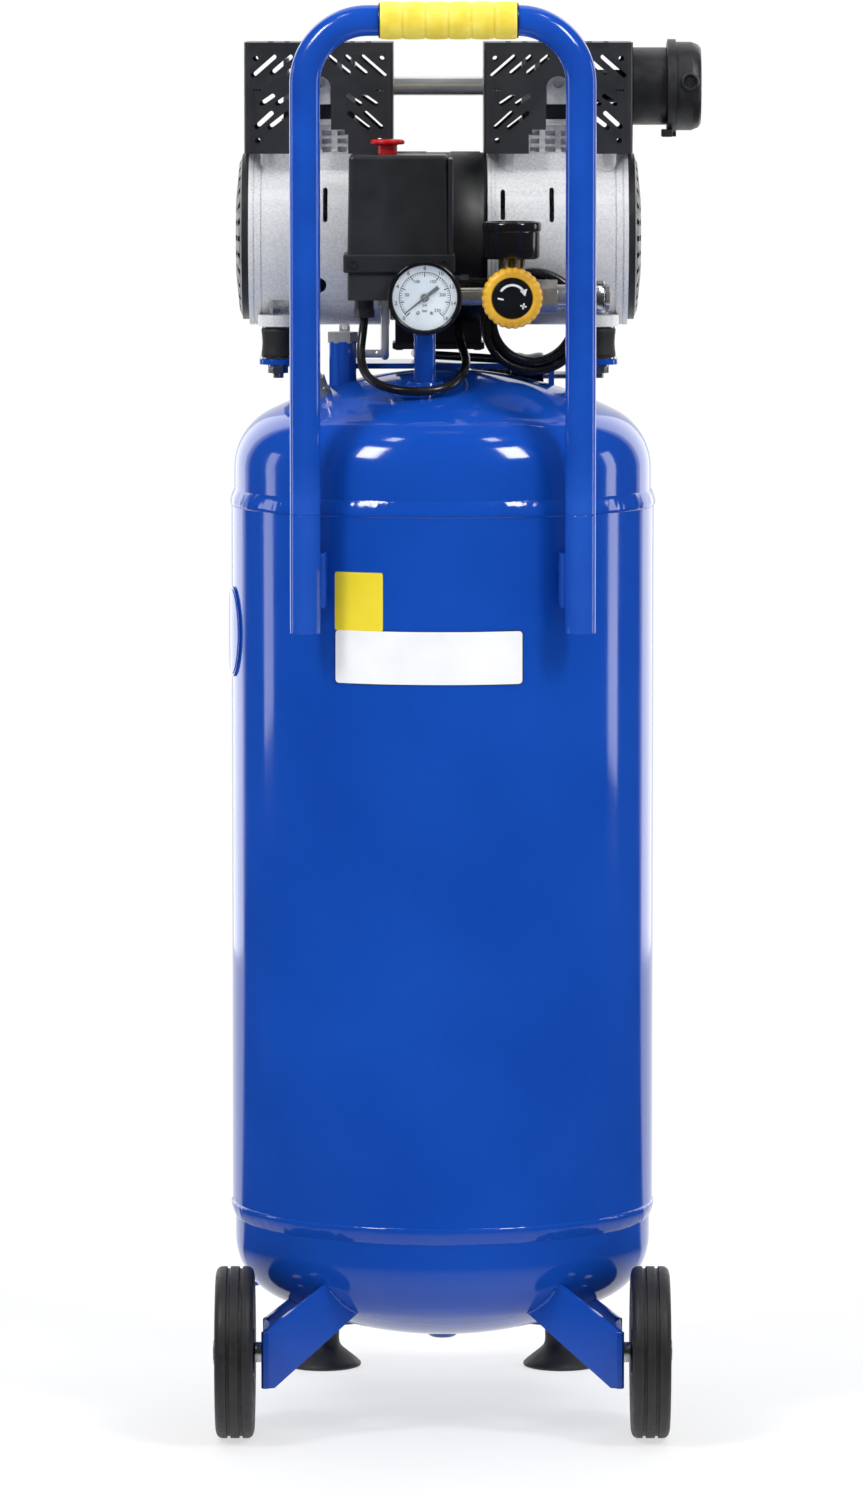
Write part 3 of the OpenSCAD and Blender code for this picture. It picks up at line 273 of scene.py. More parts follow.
def softened(node, look, edgeMm):
    # a copy of a CAD node with its triangles merged and its edges rounded as the real tool leaves them
    obj = copyOf(nodes[node], camel(node))
    pick(obj)
    bpy.ops.object.mode_set(mode="EDIT")
    bpy.ops.mesh.select_all(action="SELECT")
    bpy.ops.mesh.remove_doubles(threshold=0.00001)
    bpy.ops.mesh.dissolve_limited(angle_limit=math.radians(0.6))
    bpy.ops.object.mode_set(mode="OBJECT")
    rounded(obj, edgeMm)
    return rides(obj, bodyOf[node], look, [node])


# finishes

def linear(hexColour):
    channels = [int(hexColour[i:i + 2], 16) / 255 for i in (1, 3, 5)]
    return [c / 12.92 if c <= 0.04045 else ((c + 0.055) / 1.055) ** 2.4 for c in channels] + [1]


def addNode(tree, kind, settings=None, links=None):
    node = tree.nodes.new(kind)
    for key, value in (settings or {}).items():
        if isinstance(key, int) or key in node.inputs:
            node.inputs[key].default_value = value
        else:
            setattr(node, key, value)
    for key, source in (links or {}).items():
        tree.links.new(source, node.inputs[key])
    return node


def finish(name, lowHex, highHex, patchMm, grainMm, grainDepthMm, rough, spread=0.05, wornHex=None,
           **sockets):
    # a colour that wanders between two tones, a relief of grains and a shine that varies
    look = bpy.data.materials.new(name)
    look.use_nodes = True
    look.diffuse_color = linear(lowHex)
    tree = look.node_tree
    shader = tree.nodes["Principled BSDF"]
    for key, value in sockets.items():
        shader.inputs[key].default_value = value
    coords = addNode(tree, "ShaderNodeTexCoord").outputs["Object"]
    patches = addNode(tree, "ShaderNodeTexNoise", {"Scale": 1000 / patchMm, "Detail": 4.0},
                      {"Vector": coords})
    tone = addNode(tree, "ShaderNodeValToRGB", {}, {"Fac": patches.outputs["Fac"]})
    for stop, position, tint in zip(tone.color_ramp.elements, (0.36, 0.66), (lowHex, highHex)):
        stop.position, stop.color = position, linear(tint)
    colour = tone.outputs["Color"]
    if wornHex:
        # handling rubs the outer edges paler
        bends = addNode(tree, "ShaderNodeNewGeometry").outputs["Pointiness"]
        edge = addNode(tree, "ShaderNodeMapRange", {"From Min": 0.515, "From Max": 0.56, "To Max": 0.5},
                       {"Value": bends})
        worn = addNode(tree, "ShaderNodeMix", {"data_type": "RGBA", 7: linear(wornHex)},
                       {0: edge.outputs["Result"], 6: colour})
        colour = worn.outputs[2]
    tree.links.new(colour, shader.inputs["Base Color"])
    grains = addNode(tree, "ShaderNodeTexNoise", {"Scale": 1000 / grainMm, "Detail": 2.0},
                     {"Vector": coords})
    relief = addNode(tree, "ShaderNodeBump", {"Strength": 1.0, "Distance": grainDepthMm * mm},
                     {"Height": grains.outputs["Fac"]})
    tree.links.new(relief.outputs["Normal"], shader.inputs["Normal"])
    wander = addNode(tree, "ShaderNodeTexNoise", {"Scale": 1000 / (patchMm / 2), "Detail": 3.0},
                     {"Vector": coords})
    shine = addNode(tree, "ShaderNodeMapRange",
                    {"From Min": 0.3, "From Max": 0.7, "To Min": max(0.02, rough - spread),
                     "To Max": rough + spread}, {"Value": wander.outputs["Fac"]})
    tree.links.new(shine.outputs["Result"], shader.inputs["Roughness"])
    return look


# each finish: two tones, patches, grain and grain depth in mm, roughness and its spread, worn edges
# baked enamel on sheet steel: a deep even blue with a wet shine and a faint ripple 8 mm across
blueEnamel = finish("bakedEnamel", "#0f43a2", "#1149ad", 160, 8, 0.010, 0.09, 0.03, IOR=1.5)
# the same enamel over bent tube, where hands and knocks dull it a little
tubeEnamel = finish("tubeEnamel", "#0f41a0", "#124aae", 60, 5, 0.012, 0.14, 0.04, "#2a5cc0", IOR=1.5)
# stove lacquer on small steel parts: black with a soft sheen that shows the metal's small waves
blackLacquer = finish("stoveLacquer", "#161618", "#1f2023", 30, 1.8, 0.035, 0.34, 0.06, "#2c2d30", IOR=1.5)
# pressure die-cast aluminium, shot blasted: pale grey with a bright 1 mm sparkle
castAluminium = finish("blastedAluminium", "#cfd1d3", "#e9eaeb", 1.7, 1.0, 0.05, 0.42, 0.06, "#f6f6f7",
                       Metallic=0.22)
# die-cast fins and plates straight from the tool: a touch greyer and smoother than the blasted case
finAluminium = finish("dieCastAluminium", "#c9cbcd", "#e2e3e4", 3, 1.4, 0.03, 0.36, 0.06, "#f0f0f1",
                      Metallic=0.3)
# bright zinc plating: cool white metal, slightly milky
zincSteel = finish("brightZinc", "#b4b7bb", "#d6d8db", 8, 0.7, 0.012, 0.24, 0.06, Metallic=1.0)
# polished nickel: warm grey, nearly a mirror, faintly clouded by handling
nickelPlate = finish("polishedNickel", "#bdbab2", "#d6d3cb", 10, 1.2, 0.008, 0.17, 0.05, Metallic=0.8)
# copper tube, tin plated: bright all over and a little clouded
tinnedTube = finish("tinnedTube", "#c9cbce", "#e4e5e7", 14, 2.0, 0.010, 0.16, 0.05, Metallic=0.6)
# chromed steel pipe: near mirror
chromePlate = finish("chromePlate", "#dcdee1", "#ecedef", 40, 6, 0.006, 0.12, 0.03, Metallic=0.7)
# turned brass: yellow metal with a fine bright grain
turnedBrass = finish("turnedBrass", "#a5803f", "#cda65c", 7, 0.8, 0.012, 0.24, 0.06, Metallic=1.0)
# forged brass as delivered: duller and browner
forgedBrass = finish("forgedBrass", "#8d7140", "#b09056", 9, 1.1, 0.03, 0.36, 0.08, Metallic=1.0)
# glass-filled nylon: dark charcoal with the fine spark grain of its mould
glassNylon = finish("glassFilledNylon", "#1a1a1c", "#252629", 14, 0.9, 0.05, 0.40, 0.07, "#34353a", IOR=1.53)
# nylon of the fans inside the casings: dusty and matt
fanNylon = finish("dustyNylon", "#1d1e20", "#2b2c2f", 6, 1.2, 0.05, 0.55, 0.08, IOR=1.5)
# oiled steel laminations of the stator: blue-black, dull
blackOxide = finish("blackOxide", "#101113", "#17181a", 20, 1.6, 0.03, 0.46, 0.05, IOR=1.5)
# polished ABS: black with a clean gloss
blackAbs = finish("polishedAbs", "#101012", "#17181b", 40, 6, 0.006, 0.16, 0.03, IOR=1.54)
# satin ABS of the switch and the head guards: grained by the tool, paler on its edges
satinAbs = finish("satinAbs", "#1f2022", "#27282b", 26, 0.8, 0.03, 0.36, 0.05, "#34353a", IOR=1.54)
# natural rubber with carbon black: matt, a bloom of grey on it
softRubber = finish("naturalRubber", "#1b1b1d", "#28282a", 16, 1.4, 0.05, 0.58, 0.08, "#303032", IOR=1.52)
# solid tyre rubber: near black, greyer on the edges that roll
tyreRubber = finish("solidTyreRubber", "#121213", "#1c1c1e", 9, 0.9, 0.08, 0.55, 0.08, "#2a2a2c", IOR=1.52)
# dipped vinyl: lemon yellow, soft and faintly pitted
gripVinyl = finish("dippedVinyl", "#e6ce3b", "#f0dc57", 12, 1.1, 0.05, 0.46, 0.06, "#fbee8c", IOR=1.52)
# golden acetal of the knob: warm, waxy gloss
knobAcetal = finish("goldenAcetal", "#cf8f0a", "#e8ad20", 14, 1.6, 0.012, 0.15, 0.04, "#f7d263", IOR=1.48)
# red ABS button: signal red with a moulded gloss
redAbs = finish("redAbs", "#b01019", "#cc1c26", 18, 3, 0.010, 0.22, 0.05, IOR=1.54)
# dyed nylon of the drain's lever: blue, paler where fingers turn it
blueNylon = finish("blueNylon", "#123c96", "#1a4aae", 8, 0.8, 0.03, 0.36, 0.06, "#3a68c4", IOR=1.53)
# extruded vinyl sheath: black, half gloss, with slow waves in it
cableVinyl = finish("cableVinyl", "#121214", "#1c1c1f", 30, 5, 0.03, 0.26, 0.05, IOR=1.53)
# screen printed tin: the dials' pale face
dialTin = finish("printedTin", "#dfeaf1", "#ecf3f7", 24, 2.4, 0.006, 0.34, 0.04, IOR=1.5)
# printing ink: near black, thin and dull
printInk = finish("printingInk", "#15161a", "#1d1e22", 6, 1.0, 0.004, 0.42, 0.05, IOR=1.5)
# plain vinyl film, yellow and white: smooth with a soft gloss
yellowFilm = finish("yellowFilm", "#e6cf2a", "#efd93a", 40, 12, 0.010, 0.20, 0.04, IOR=1.5)
whiteFilm = finish("whiteFilm", "#e9eaec", "#f4f5f6", 60, 12, 0.010, 0.20, 0.04, IOR=1.5)
# clear polycarbonate lens: a thin bright window with a hint of moulded ripple
clearLens = finish("clearPolycarbonate", "#d8e4ec", "#e2ebf0", 30, 9, 0.006, 0.04, 0.01, IOR=1.58, Alpha=0.10)
print("finishes ready")

# camera, floor, room and lamps
cameraSet = {"place": (-0.0206, -5.895, 1.0678), "pitch": 5.6, "lens": 192.3}
bpy.ops.object.camera_add(location=cameraSet["place"])
camera = justAdded("camera")
camera.rotation_euler = (math.radians(90 - cameraSet["pitch"]), 0, 0)
camera.data.lens = cameraSet["lens"]
camera.data.sensor_width = 36
camera.data.clip_end = 60
bpy.context.scene.camera = camera

plainWhite = (1, 1, 1, 1)
# the pale side of the studio begins where a direction points this far straight back, as a share
backEdge = (0.70, 0.745)
floorSet = {"size": 16, "paint": ("#efefef", "#f6f6f6"), "clear": (0.35, 1.3), "close": 0.62,
            "mirror": (0.25, 0.65), "mirrorTint": (0.035, 0.035, 0.038, 1)}
bpy.ops.mesh.primitive_plane_add(size=floorSet["size"])
floor = justAdded("floor")
floorLook = finish("mattFloorPaint", *floorSet["paint"], 400, 4, 0.02, 0.6, IOR=1.4)
tree = floorLook.node_tree
shader = tree.nodes["Principled BSDF"]
rayKind = addNode(tree, "ShaderNodeLightPath")
place = addNode(tree, "ShaderNodeTexCoord").outputs["Object"]
away = addNode(tree, "ShaderNodeVectorMath", {"operation": "LENGTH"}, {0: place}).outputs["Value"]
# for the eye and for what shines, the floor turns plain white away from the object
clear = addNode(tree, "ShaderNodeMapRange",
                {"From Min": floorSet["clear"][0], "From Max": floorSet["clear"][1],
                 "To Min": floorSet["close"], "interpolation_type": "SMOOTHSTEP"}, {"Value": away})
lookedAt = addNode(tree, "ShaderNodeMath", {"operation": "MAXIMUM"},
                   {0: rayKind.outputs["Is Camera Ray"], 1: rayKind.outputs["Is Glossy Ray"]})
seen = addNode(tree, "ShaderNodeMath", {"operation": "MULTIPLY"},
               {0: clear.outputs["Result"], 1: lookedAt.outputs[0]})
white = addNode(tree, "ShaderNodeEmission", {"Color": plainWhite, "Strength": 1.0})
plainFloor = addNode(tree, "ShaderNodeMixShader", {},
                     {0: seen.outputs[0], 1: shader.outputs[0], 2: white.outputs[0]})
# what shines sees it dark a little way off, except straight behind the object
side = addNode(tree, "ShaderNodeSeparateXYZ", {}, {0: place})
dark = addNode(tree, "ShaderNodeMapRange",
               {"From Min": floorSet["mirror"][0], "From Max": floorSet["mirror"][1]}, {"Value": away})
share = addNode(tree, "ShaderNodeMath", {"operation": "DIVIDE"}, {0: side.outputs["Y"], 1: away})
notBehind = addNode(tree, "ShaderNodeMapRange", {"From Min": backEdge[1], "From Max": backEdge[0]},
                    {"Value": share.outputs[0]})
dim = addNode(tree, "ShaderNodeMath", {"operation": "MULTIPLY"},
              {0: dark.outputs["Result"], 1: notBehind.outputs["Result"]})
dimmed = addNode(tree, "ShaderNodeMath", {"operation": "MULTIPLY"},
                 {0: dim.outputs[0], 1: rayKind.outputs["Is Glossy Ray"]})
mirror = addNode(tree, "ShaderNodeEmission", {"Color": floorSet["mirrorTint"], "Strength": 1.0})
whole = addNode(tree, "ShaderNodeMixShader", {},
                {0: dimmed.outputs[0], 1: plainFloor.outputs[0], 2: mirror.outputs[0]})
tree.links.new(whole.outputs[0], tree.nodes["Material Output"].inputs["Surface"])
floor.data.materials.append(floorLook)

roomSet = {"soft": 0.5, "tint": (0.93, 0.95, 1, 1), "front": 0.05, "back": 1.0, "upright": (1, 1, 0.25)}
world = bpy.data.worlds.new("studio")
bpy.context.scene.world = world
world.use_nodes = True
tree = world.node_tree
rayKind = addNode(tree, "ShaderNodeLightPath")
sky = addNode(tree, "ShaderNodeTexCoord").outputs["Generated"]
# a direction's height counts for a quarter, so that the pale side stands up like a wall
level = addNode(tree, "ShaderNodeVectorMath", {"operation": "MULTIPLY", 1: roomSet["upright"]}, {0: sky})
compass = addNode(tree, "ShaderNodeVectorMath", {"operation": "NORMALIZE"}, {0: level.outputs["Vector"]})
toward = addNode(tree, "ShaderNodeSeparateXYZ", {}, {0: compass.outputs["Vector"]})
# for what shines, the room is pale straight behind the object and dark elsewhere
depth = addNode(tree, "ShaderNodeMapRange",
                {"From Min": backEdge[0], "From Max": backEdge[1], "To Min": roomSet["front"],
                 "To Max": roomSet["back"]}, {"Value": toward.outputs["Y"]})
room = addNode(tree, "ShaderNodeBackground", {"Color": plainWhite}, {"Strength": depth.outputs["Result"]})
soft = addNode(tree, "ShaderNodeBackground", {"Color": roomSet["tint"], "Strength": roomSet["soft"]})
plain = addNode(tree, "ShaderNodeBackground", {"Color": plainWhite, "Strength": 1.0})
shiny = addNode(tree, "ShaderNodeMath", {"operation": "MAXIMUM"},
                {0: rayKind.outputs["Is Glossy Ray"], 1: rayKind.outputs["Is Transmission Ray"]})
first = addNode(tree, "ShaderNodeMixShader", {},
                {0: shiny.outputs[0], 1: soft.outputs[0], 2: room.outputs[0]})
last = addNode(tree, "ShaderNodeMixShader", {},
               {0: rayKind.outputs["Is Camera Ray"], 1: first.outputs[0], 2: plain.outputs[0]})
tree.links.new(last.outputs[0], tree.nodes["World Output"].inputs["Surface"])

# place, what it faces, size in metres, watts and how far it leans
lampSet = {
    "leftBox": ((-1.76, -1.67, 2.68), (0, 0, 0.7), (0.62, 1.0), 44, 0),
    "rightBox": ((1.71, -1.71, 2.68), (0, 0, 0.7), (0.62, 1.0), 44, 0),
    "leftStrip": ((-2.67, 0.85, 0.93), (0, 0, 0.93), (0.42, 1.36), 5.2, 4),
    "rightStrip": ((2.71, 0.70, 0.98), (0, 0, 0.98), (0.42, 1.54), 8, -4),
    "leftRim": ((-1.4, 2.42, 1.6), (0, 0, 1.6), (1.2, 3.2), 14, 0),
    "rightRim": ((1.4, 2.42, 1.6), (0, 0, 1.6), (1.2, 3.2), 14, 0),
    "leftTop": ((-1.0, -0.92, 3.48), (0, 0, 0.7), (0.3, 0.35), 4, 0),
    "rightTop": ((1.0, -0.92, 3.48), (0, 0, 0.7), (0.3, 0.35), 4, 0),
    "ceiling": ((0, 0.6, 3.3), (0, 0, 0.8), (2.0, 1.6), 30, 0)}
for name, (place, target, size, watts, lean) in lampSet.items():
    bpy.ops.object.light_add(type="AREA", location=place)
    lamp = justAdded(name)
    lamp.data.shape = "RECTANGLE"
    lamp.data.size, lamp.data.size_y = size
    lamp.data.energy = watts
    lamp.rotation_euler = (Vector(target) - Vector(place)).to_track_quat("-Z", "Y").to_euler()
    lamp.rotation_euler.rotate_axis("Z", math.radians(lean))
    lamp.visible_glossy = name != "ceiling"
print("camera, floor and lamps ready")

# cords
motorLeadSet = {"thick": 6.5, "length": 0.258, "route": [
    (-57, -50, 40), (-58, -51, 29.5), (-60, -58, 13.5), (-57, -72, 0.5), (-48, -86, -6.5), (-34, -96, -10.5),
    (-18, -99, -11.5), (-3, -96, -10.5), (8, -86, -6.5), (14, -72, -0.5), (17, -54, 5.5), (17, -36, 9.5),
    (16, -16, 12.5), (14, 6, 15.5), (12, 24, 23.5), (12, 32, 34.8)]}
mainsSet = {
    "thick": 6.4, "length": 1.38, "middle": (66, -26, 36), "start": 115, "turnsTo": 2005, "every": 18,
    "lead": [(19, -32.4, 63), (24.5, -32.4, 63), (29, -32.4, 63.2), (33.4, -32.4, 63.6), (37.9, -32.4, 64.5),
             (42.3, -32.4, 65.6), (46.5, -32.4, 67)],
    # degrees travelled round the coil, radius there and distance from its middle plane
    "lay": [(0, 36.2, -6.4), (265, 36.2, -6.4), (345, 29.8, -6.4), (600, 29.8, -6.4), (680, 29.8, 0),
            (910, 29.8, 0), (990, 36.2, 0), (1220, 36.2, 0), (1300, 36.2, 6.4), (1540, 36.2, 6.4),
            (1620, 29.8, 6.4), (1850, 29.8, 6.4), (1930, 29.8, 12.8), (2010, 29.8, 12.8)],
    "tail": [(63.4, -13.2, 6.3), (59, -12.9, 6.4), (54.6, -11.9, 6.6), (50.5, -10.3, 6.9), (46.6, -8.1, 7.2),
             (43.1, -5.3, 7.5), (40.1, -2.1, 7.6), (29.6, 10.9, 7.6), (19.1, 23.9, 7.6), (8.5, 36.9, 7.6),
             (-2, 49.9, 7.6), (-12.5, 62.8, 7.6), (-16.8, 69.7, 7.6), (-19.6, 77.3, 7.6), (-20.5, 85.3, 7.6),
             (-19.6, 93.4, 6.9), (-17, 101, 5.1), (-12.7, 107.9, 2.3), (-7, 113.6, -1.1), (-0.2, 117.9, -4.5),
             (7.5, 120.6, -7.5), (15.5, 121.5, -9.6), (20.5, 121.5, -10.3), (25.5, 121.5, -10.6)]}


def cordCurve(name, points, thickMm):
    curve = bpy.data.curves.new(name, "CURVE")
    curve.dimensions = "3D"
    curve.bevel_depth = thickMm * mm / 2
    curve.bevel_resolution = 4
    curve.resolution_u = 5
    curve.use_fill_caps = True
    run = curve.splines.new("NURBS")
    run.points.add(len(points) - 1)
    for spot, point in zip(run.points, points):
        spot.co = (*point, 1)
    run.order_u = 3
    run.use_endpoint_u = True
    obj = bpy.data.objects.new(name, curve)
    bpy.context.scene.collection.objects.link(obj)
    return obj


def coilTurns(coil):
    x, y, z = coil["middle"]
    points = []
    for travelled in range(0, coil["turnsTo"], coil["every"]):
        a0, r0, y0 = [step for step in coil["lay"] if step[0] <= travelled][-1]
        a1, r1, y1 = [step for step in coil["lay"] if step[0] > travelled][0]
        share = (travelled - a0) / (a1 - a0)
        share = share * share * (3 - 2 * share)
        turn = math.radians(coil["start"] - travelled)
        radius = r0 + (r1 - r0) * share
        points.append((x + radius * math.cos(turn), y + y0 + (y1 - y0) * share,
                       z + radius * math.sin(turn)))
    return points


motorLead = cordCurve("motorLead", [at(*p) for p in motorLeadSet["route"]], motorLeadSet["thick"])
rides(motorLead, "frame", cableVinyl, ["motor_lead"])
mainsRoute = [at(*p) for p in mainsSet["lead"] + coilTurns(mainsSet) + mainsSet["tail"]]
mainsCord = cordCurve("mainsCord", mainsRoute, mainsSet["thick"])
rides(mainsCord, "frame", cableVinyl, ["mains_lead", "mains_coil", "mains_tail"])
print("cords laid")

# tank: the rolled shell and its two dished heads, with the lap seams
tankSet = {"shell": 155, "head": 152.8, "crown": 285, "knuckle": 47, "rise": 71.8, "lap": 25, "steps": 192}
knuckleAt = tankSet["head"] - tankSet["knuckle"]
crownAngle = math.asin(knuckleAt / (tankSet["crown"] - tankSet["knuckle"]))
shellTop, shellFoot = shellHigh.z / mm, shellLow.z / mm
tankAxis = Vector((axisX, axisY, 0))


def headHeight(radius):
    # height of a head's surface above its tangent plane
    if radius < knuckleAt + tankSet["knuckle"] * math.sin(crownAngle):
        return tankSet["rise"] - tankSet["crown"] + math.sqrt(tankSet["crown"] ** 2 - radius ** 2)
    return math.sqrt(max(0, tankSet["knuckle"] ** 2 - (radius - knuckleAt) ** 2))


def headOutline():
    crown, knuckle = tankSet["crown"], tankSet["knuckle"]
    outline = []
    for i in range(19):
        a = crownAngle * i / 18
        outline.append((crown * math.sin(a), tankSet["rise"] - crown * (1 - math.cos(a))))
    for i in range(1, 15):
        a = crownAngle + (math.pi / 2 - crownAngle) * i / 14
        outline.append((knuckleAt + knuckle * math.sin(a), knuckle * math.cos(a)))
    return outline


upper = [(r, shellTop + tankSet["lap"] + h) for r, h in headOutline()]
lower = [(r, shellFoot - tankSet["lap"] - h) for r, h in reversed(headOutline())]
# close rings beside each lap keep the long wall's reflections straight
wall = [shellTop - 0.8, shellTop - 1.8, shellTop - 4] + [shellTop - 40 * i for i in range(1, 13)]
wall += [shellFoot + 4, shellFoot + 1.8, shellFoot + 0.8]
outer, rim = tankSet["shell"], tankSet["head"]
middle = [(rim, shellTop + 4), (rim, shellTop + 1), (outer - 0.6, shellTop)]
middle += [(outer, h) for h in wall]
middle += [(outer - 0.6, shellFoot), (rim, shellFoot - 1), (rim, shellFoot - 4)]
tankBody = turned("tankBody", upper + middle + lower, tankAxis, tankSet["steps"], smooth=40)
rides(tankBody, "frame", blueEnamel, ["tank_shell", "tank_top_head", "tank_bottom_head"])

# plugged boss at the lowest point, with a hexagon sunk in it
bossSet = {"across": 8, "deep": 3.5, "low": 55.5}
bossOutline = [(0, 0), (8.2, 0), (9.4, 0.4), (12.4, 3.1), (14, 4.7), (14.5, 5.7), (14.5, 8.5), (0, 8.5)]
boss = turned("drainBoss", [(r, bossSet["low"] + h) for r, h in bossOutline], tankAxis, 64)
cutter = hexagon("bossCutter", bossSet["across"], bossSet["deep"] + 1,
                 tankAxis + up * (bossSet["low"] - 1) * mm, up, edgeMm=0.05)
modify(boss, "BOOLEAN", object=cutter, operation="DIFFERENCE", solver="EXACT")
bpy.data.objects.remove(cutter)
rides(boss, "frame", blueEnamel)

# each seam is one run of bead round the tank, rippled by the torch, then painted over
beadOutline = [(152.2, 10.6), (153.0, 9.4), (153.9, 7.4), (154.9, 4.6), (155.7, 1.6), (155.9, -0.8),
               (155.3, -2.4), (154.2, -2.8)]
beads = []
for end, way in ((shellTop, 1), (shellFoot, -1)):
    ring = [(r, end + way * h) for r, h in beadOutline]
    bead = turned("seam", ring + [ring[0]], tankAxis, 640, smooth=80)
    beads.append(roughened(roughened(bead, 4.5, 0.55), 22, 0.9))
# the shell's own seam runs down the front between them
seamOutline = [(-6, 0.3), (-3.6, 0.03), (-1.6, -0.03), (0, -0.05), (1.6, -0.03), (3.6, 0.03), (6, 0.3)]
seamFoot = tankAxis + Vector((0, -tankSet["shell"], shellFoot + 4)) * mm
beads.append(plate("longSeam", seamOutline, shellTop - shellFoot - 8, seamFoot))
seamBeads = closeUp(joined("seamBeads", beads), 80)
rides(seamBeads, "frame", blueEnamel, ["weld_seams"])
print("tank ready")


def onShell(name, widthMm, highMm, middleX, middleZ, turn, look, thickMm=0.2, cornerMm=2.5, ellipse=False,
            lift=0.1):
    # a thin film or plate that follows the shell's curve, turned to its place round the axis
    bpy.ops.mesh.primitive_grid_add(x_subdivisions=36, y_subdivisions=8, size=1,
                                    rotation=(math.pi / 2, 0, 0))
    obj = justAdded(name)
    placeInMesh(obj)
    for spot in obj.data.vertices:
        x, z = spot.co.x * 2, spot.co.z * 2
        if ellipse:
            # draws the square grid out to an oval
            x, z = x * math.sqrt(1 - z * z / 2), z * math.sqrt(1 - x * x / 2)
        spot.co = Vector((x * widthMm / 2 * mm + middleX * mm, -0.3, z * highMm / 2 * mm + middleZ * mm))
    if not ellipse:
        pick(obj)
        bpy.ops.object.mode_set(mode="EDIT")
        bpy.ops.mesh.select_mode(type="VERT")
        bpy.ops.mesh.select_all(action="DESELECT")
        mesh = bmesh.from_edit_mesh(obj.data)
        for spot in mesh.verts:
            spot.select_set(len(spot.link_edges) == 2)
        bmesh.update_edit_mesh(obj.data)
        bpy.ops.mesh.bevel(offset=cornerMm * mm, segments=5, affect="VERTICES")
        bpy.ops.object.mode_set(mode="OBJECT")
    obj.data.transform(Matrix.Translation(tankAxis))
    modify(obj, "SHRINKWRAP", target=tankBody, wrap_method="PROJECT", use_project_y=True,
           use_positive_direction=True, use_negative_direction=False, offset=lift * mm)
    spin = Matrix.Rotation(math.radians(turn), 4, "Z")
    obj.data.transform(Matrix.Translation(tankAxis) @ spin @ Matrix.Translation(-tankAxis))
    modify(obj, "SOLIDIFY", thickness=thickMm * mm, offset=1)
    closeUp(obj, 30)
    return rides(obj, "frame", look)


# width, height, place across, place up and degrees round the tank
labelSet = {"yellow": (34.5, 42, -60.2, 613, 0), "white": (134, 38, -10, 573, 0),
            "edge": (135.4, 39.4, -10, 573, 0), "plate": (42, 62, 0, 582, -80), "rim": (46, 66, 0, 582, -80)}
onShell("yellowLabel", *labelSet["yellow"], yellowFilm, lift=0.2)
onShell("whiteLabel", *labelSet["white"], whiteFilm, lift=0.2)
# a dark rim in printing ink round the white label: painted shade of the label's edge
onShell("labelShadeRim", *labelSet["edge"], printInk, 0.12, cornerMm=3)
onShell("ratingPlate", *labelSet["plate"], blueEnamel, 1.6, ellipse=True, lift=0.4)
onShell("ratingRim", *labelSet["rim"], blueEnamel, 1.4, ellipse=True)
print("labels ready")


def tubeAlong(name, points, thickMm, fine):
    # a round bar swept along points in metres, as a mesh
    bar = cordCurve(name, points, thickMm)
    bar.data.bevel_resolution = fine
    pick(bar)
    bpy.ops.object.convert(target="MESH")
    return closeUp(justAdded(name), 50)


def weldAlong(points, thickMm):
    # a hand weld: a run of bead lumpy from the rod, flooded with paint
    bead = tubeAlong("weld", points, thickMm, 3)
    modify(bead, "SUBSURF", levels=1, render_levels=1)
    return roughened(roughened(bead, 2.6, 0.9), 7, 1.2)


# handle: one bent tube that plugs into two sockets, with a soft grip on the crossbar
handleSet = {"tube": 22, "legs": 98.5, "bend": 45, "rise": 255.5, "rows": (0.72, 0.80, 0.90),
             "gripLen": 98, "waves": 6, "shift": 4}
tubeLow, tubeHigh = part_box("handle_tube")
handleY = (tubeLow.y + tubeHigh.y) / 2
barZ = domeTop + handleSet["rise"] * mm
bend, legs = handleSet["bend"] * mm, handleSet["legs"] * mm
route = [Vector((axisX - legs, handleY, shellHigh.z + 1.2 * mm))]
route += [Vector((axisX - legs, handleY, z)) for z in (*handleSet["rows"], barZ - bend - 0.004)]
for i in range(19):
    a = math.radians(180 - 5 * i)
    x, z = axisX - legs + bend + bend * math.cos(a), barZ - bend + bend * math.sin(a)
    route.append(Vector((x, handleY, z)))
route += [Vector((axisX - legs + bend + step * 2 * (legs - bend), handleY, barZ))
          for step in (0.05, 0.35, 0.5)]
otherHalf = [Vector((2 * axisX - p.x, p.y, p.z)) for p in reversed(route[:-1])]
handleTube = tubeAlong("handleTube", route + otherHalf, handleSet["tube"], 10)
lipOutline = [(8, 0), (10.4, 0), (10.9, 0.6), (10.9, 1.6), (10, 1.8), (8, 1.8)]
lip = [turned("handleLip", lipOutline, Vector((axisX + side * legs, handleY, shellHigh.z - 0.2 * mm)), 48)
       for side in (-1, 1)]
rides(joined("handleTube", lip + [handleTube]), "frame", tubeEnamel, ["handle_tube"])

gripLen = handleSet["gripLen"]
wave = gripLen / handleSet["waves"]
gripOutline = [(10.9, -0.2), (12.2, 0), (12.7, 0.4)]
# each wave swells from one neck and narrows to the next in the same way
swell = [(12.75, 0.5), (13.2, 1.6), (13.42, 4.5)]
for i in range(handleSet["waves"]):
    gripOutline += [(r, i * wave + h) for r, h in swell] + [(13.5, i * wave + wave / 2)]
    gripOutline += [(r, (i + 1) * wave - h) for r, h in reversed(swell)]
    if i < handleSet["waves"] - 1:
        gripOutline.append((12.3, (i + 1) * wave))
gripOutline += [(12.7, gripLen - 0.4), (12.2, gripLen), (10.9, gripLen + 0.2)]
gripLeft = Vector((axisX + (handleSet["shift"] - gripLen / 2) * mm, handleY, barZ))
gripRight = gripLeft + Vector((gripLen * mm, 0, 0))
rides(turned("grip", gripOutline, gripLeft, 64, right, smooth=45), "frame", gripVinyl,
      ["handle_grip"])
# black rings at both ends of the grip: painted shade where the grip meets the tube
shadeRingOutline = [(10.9, -0.9), (12.3, -0.8), (12.6, 0), (12.3, 0.8), (10.9, 0.9)]
ends = [turned("gripShadeRing", shadeRingOutline, end, 48, right) for end in (gripLeft, gripRight)]
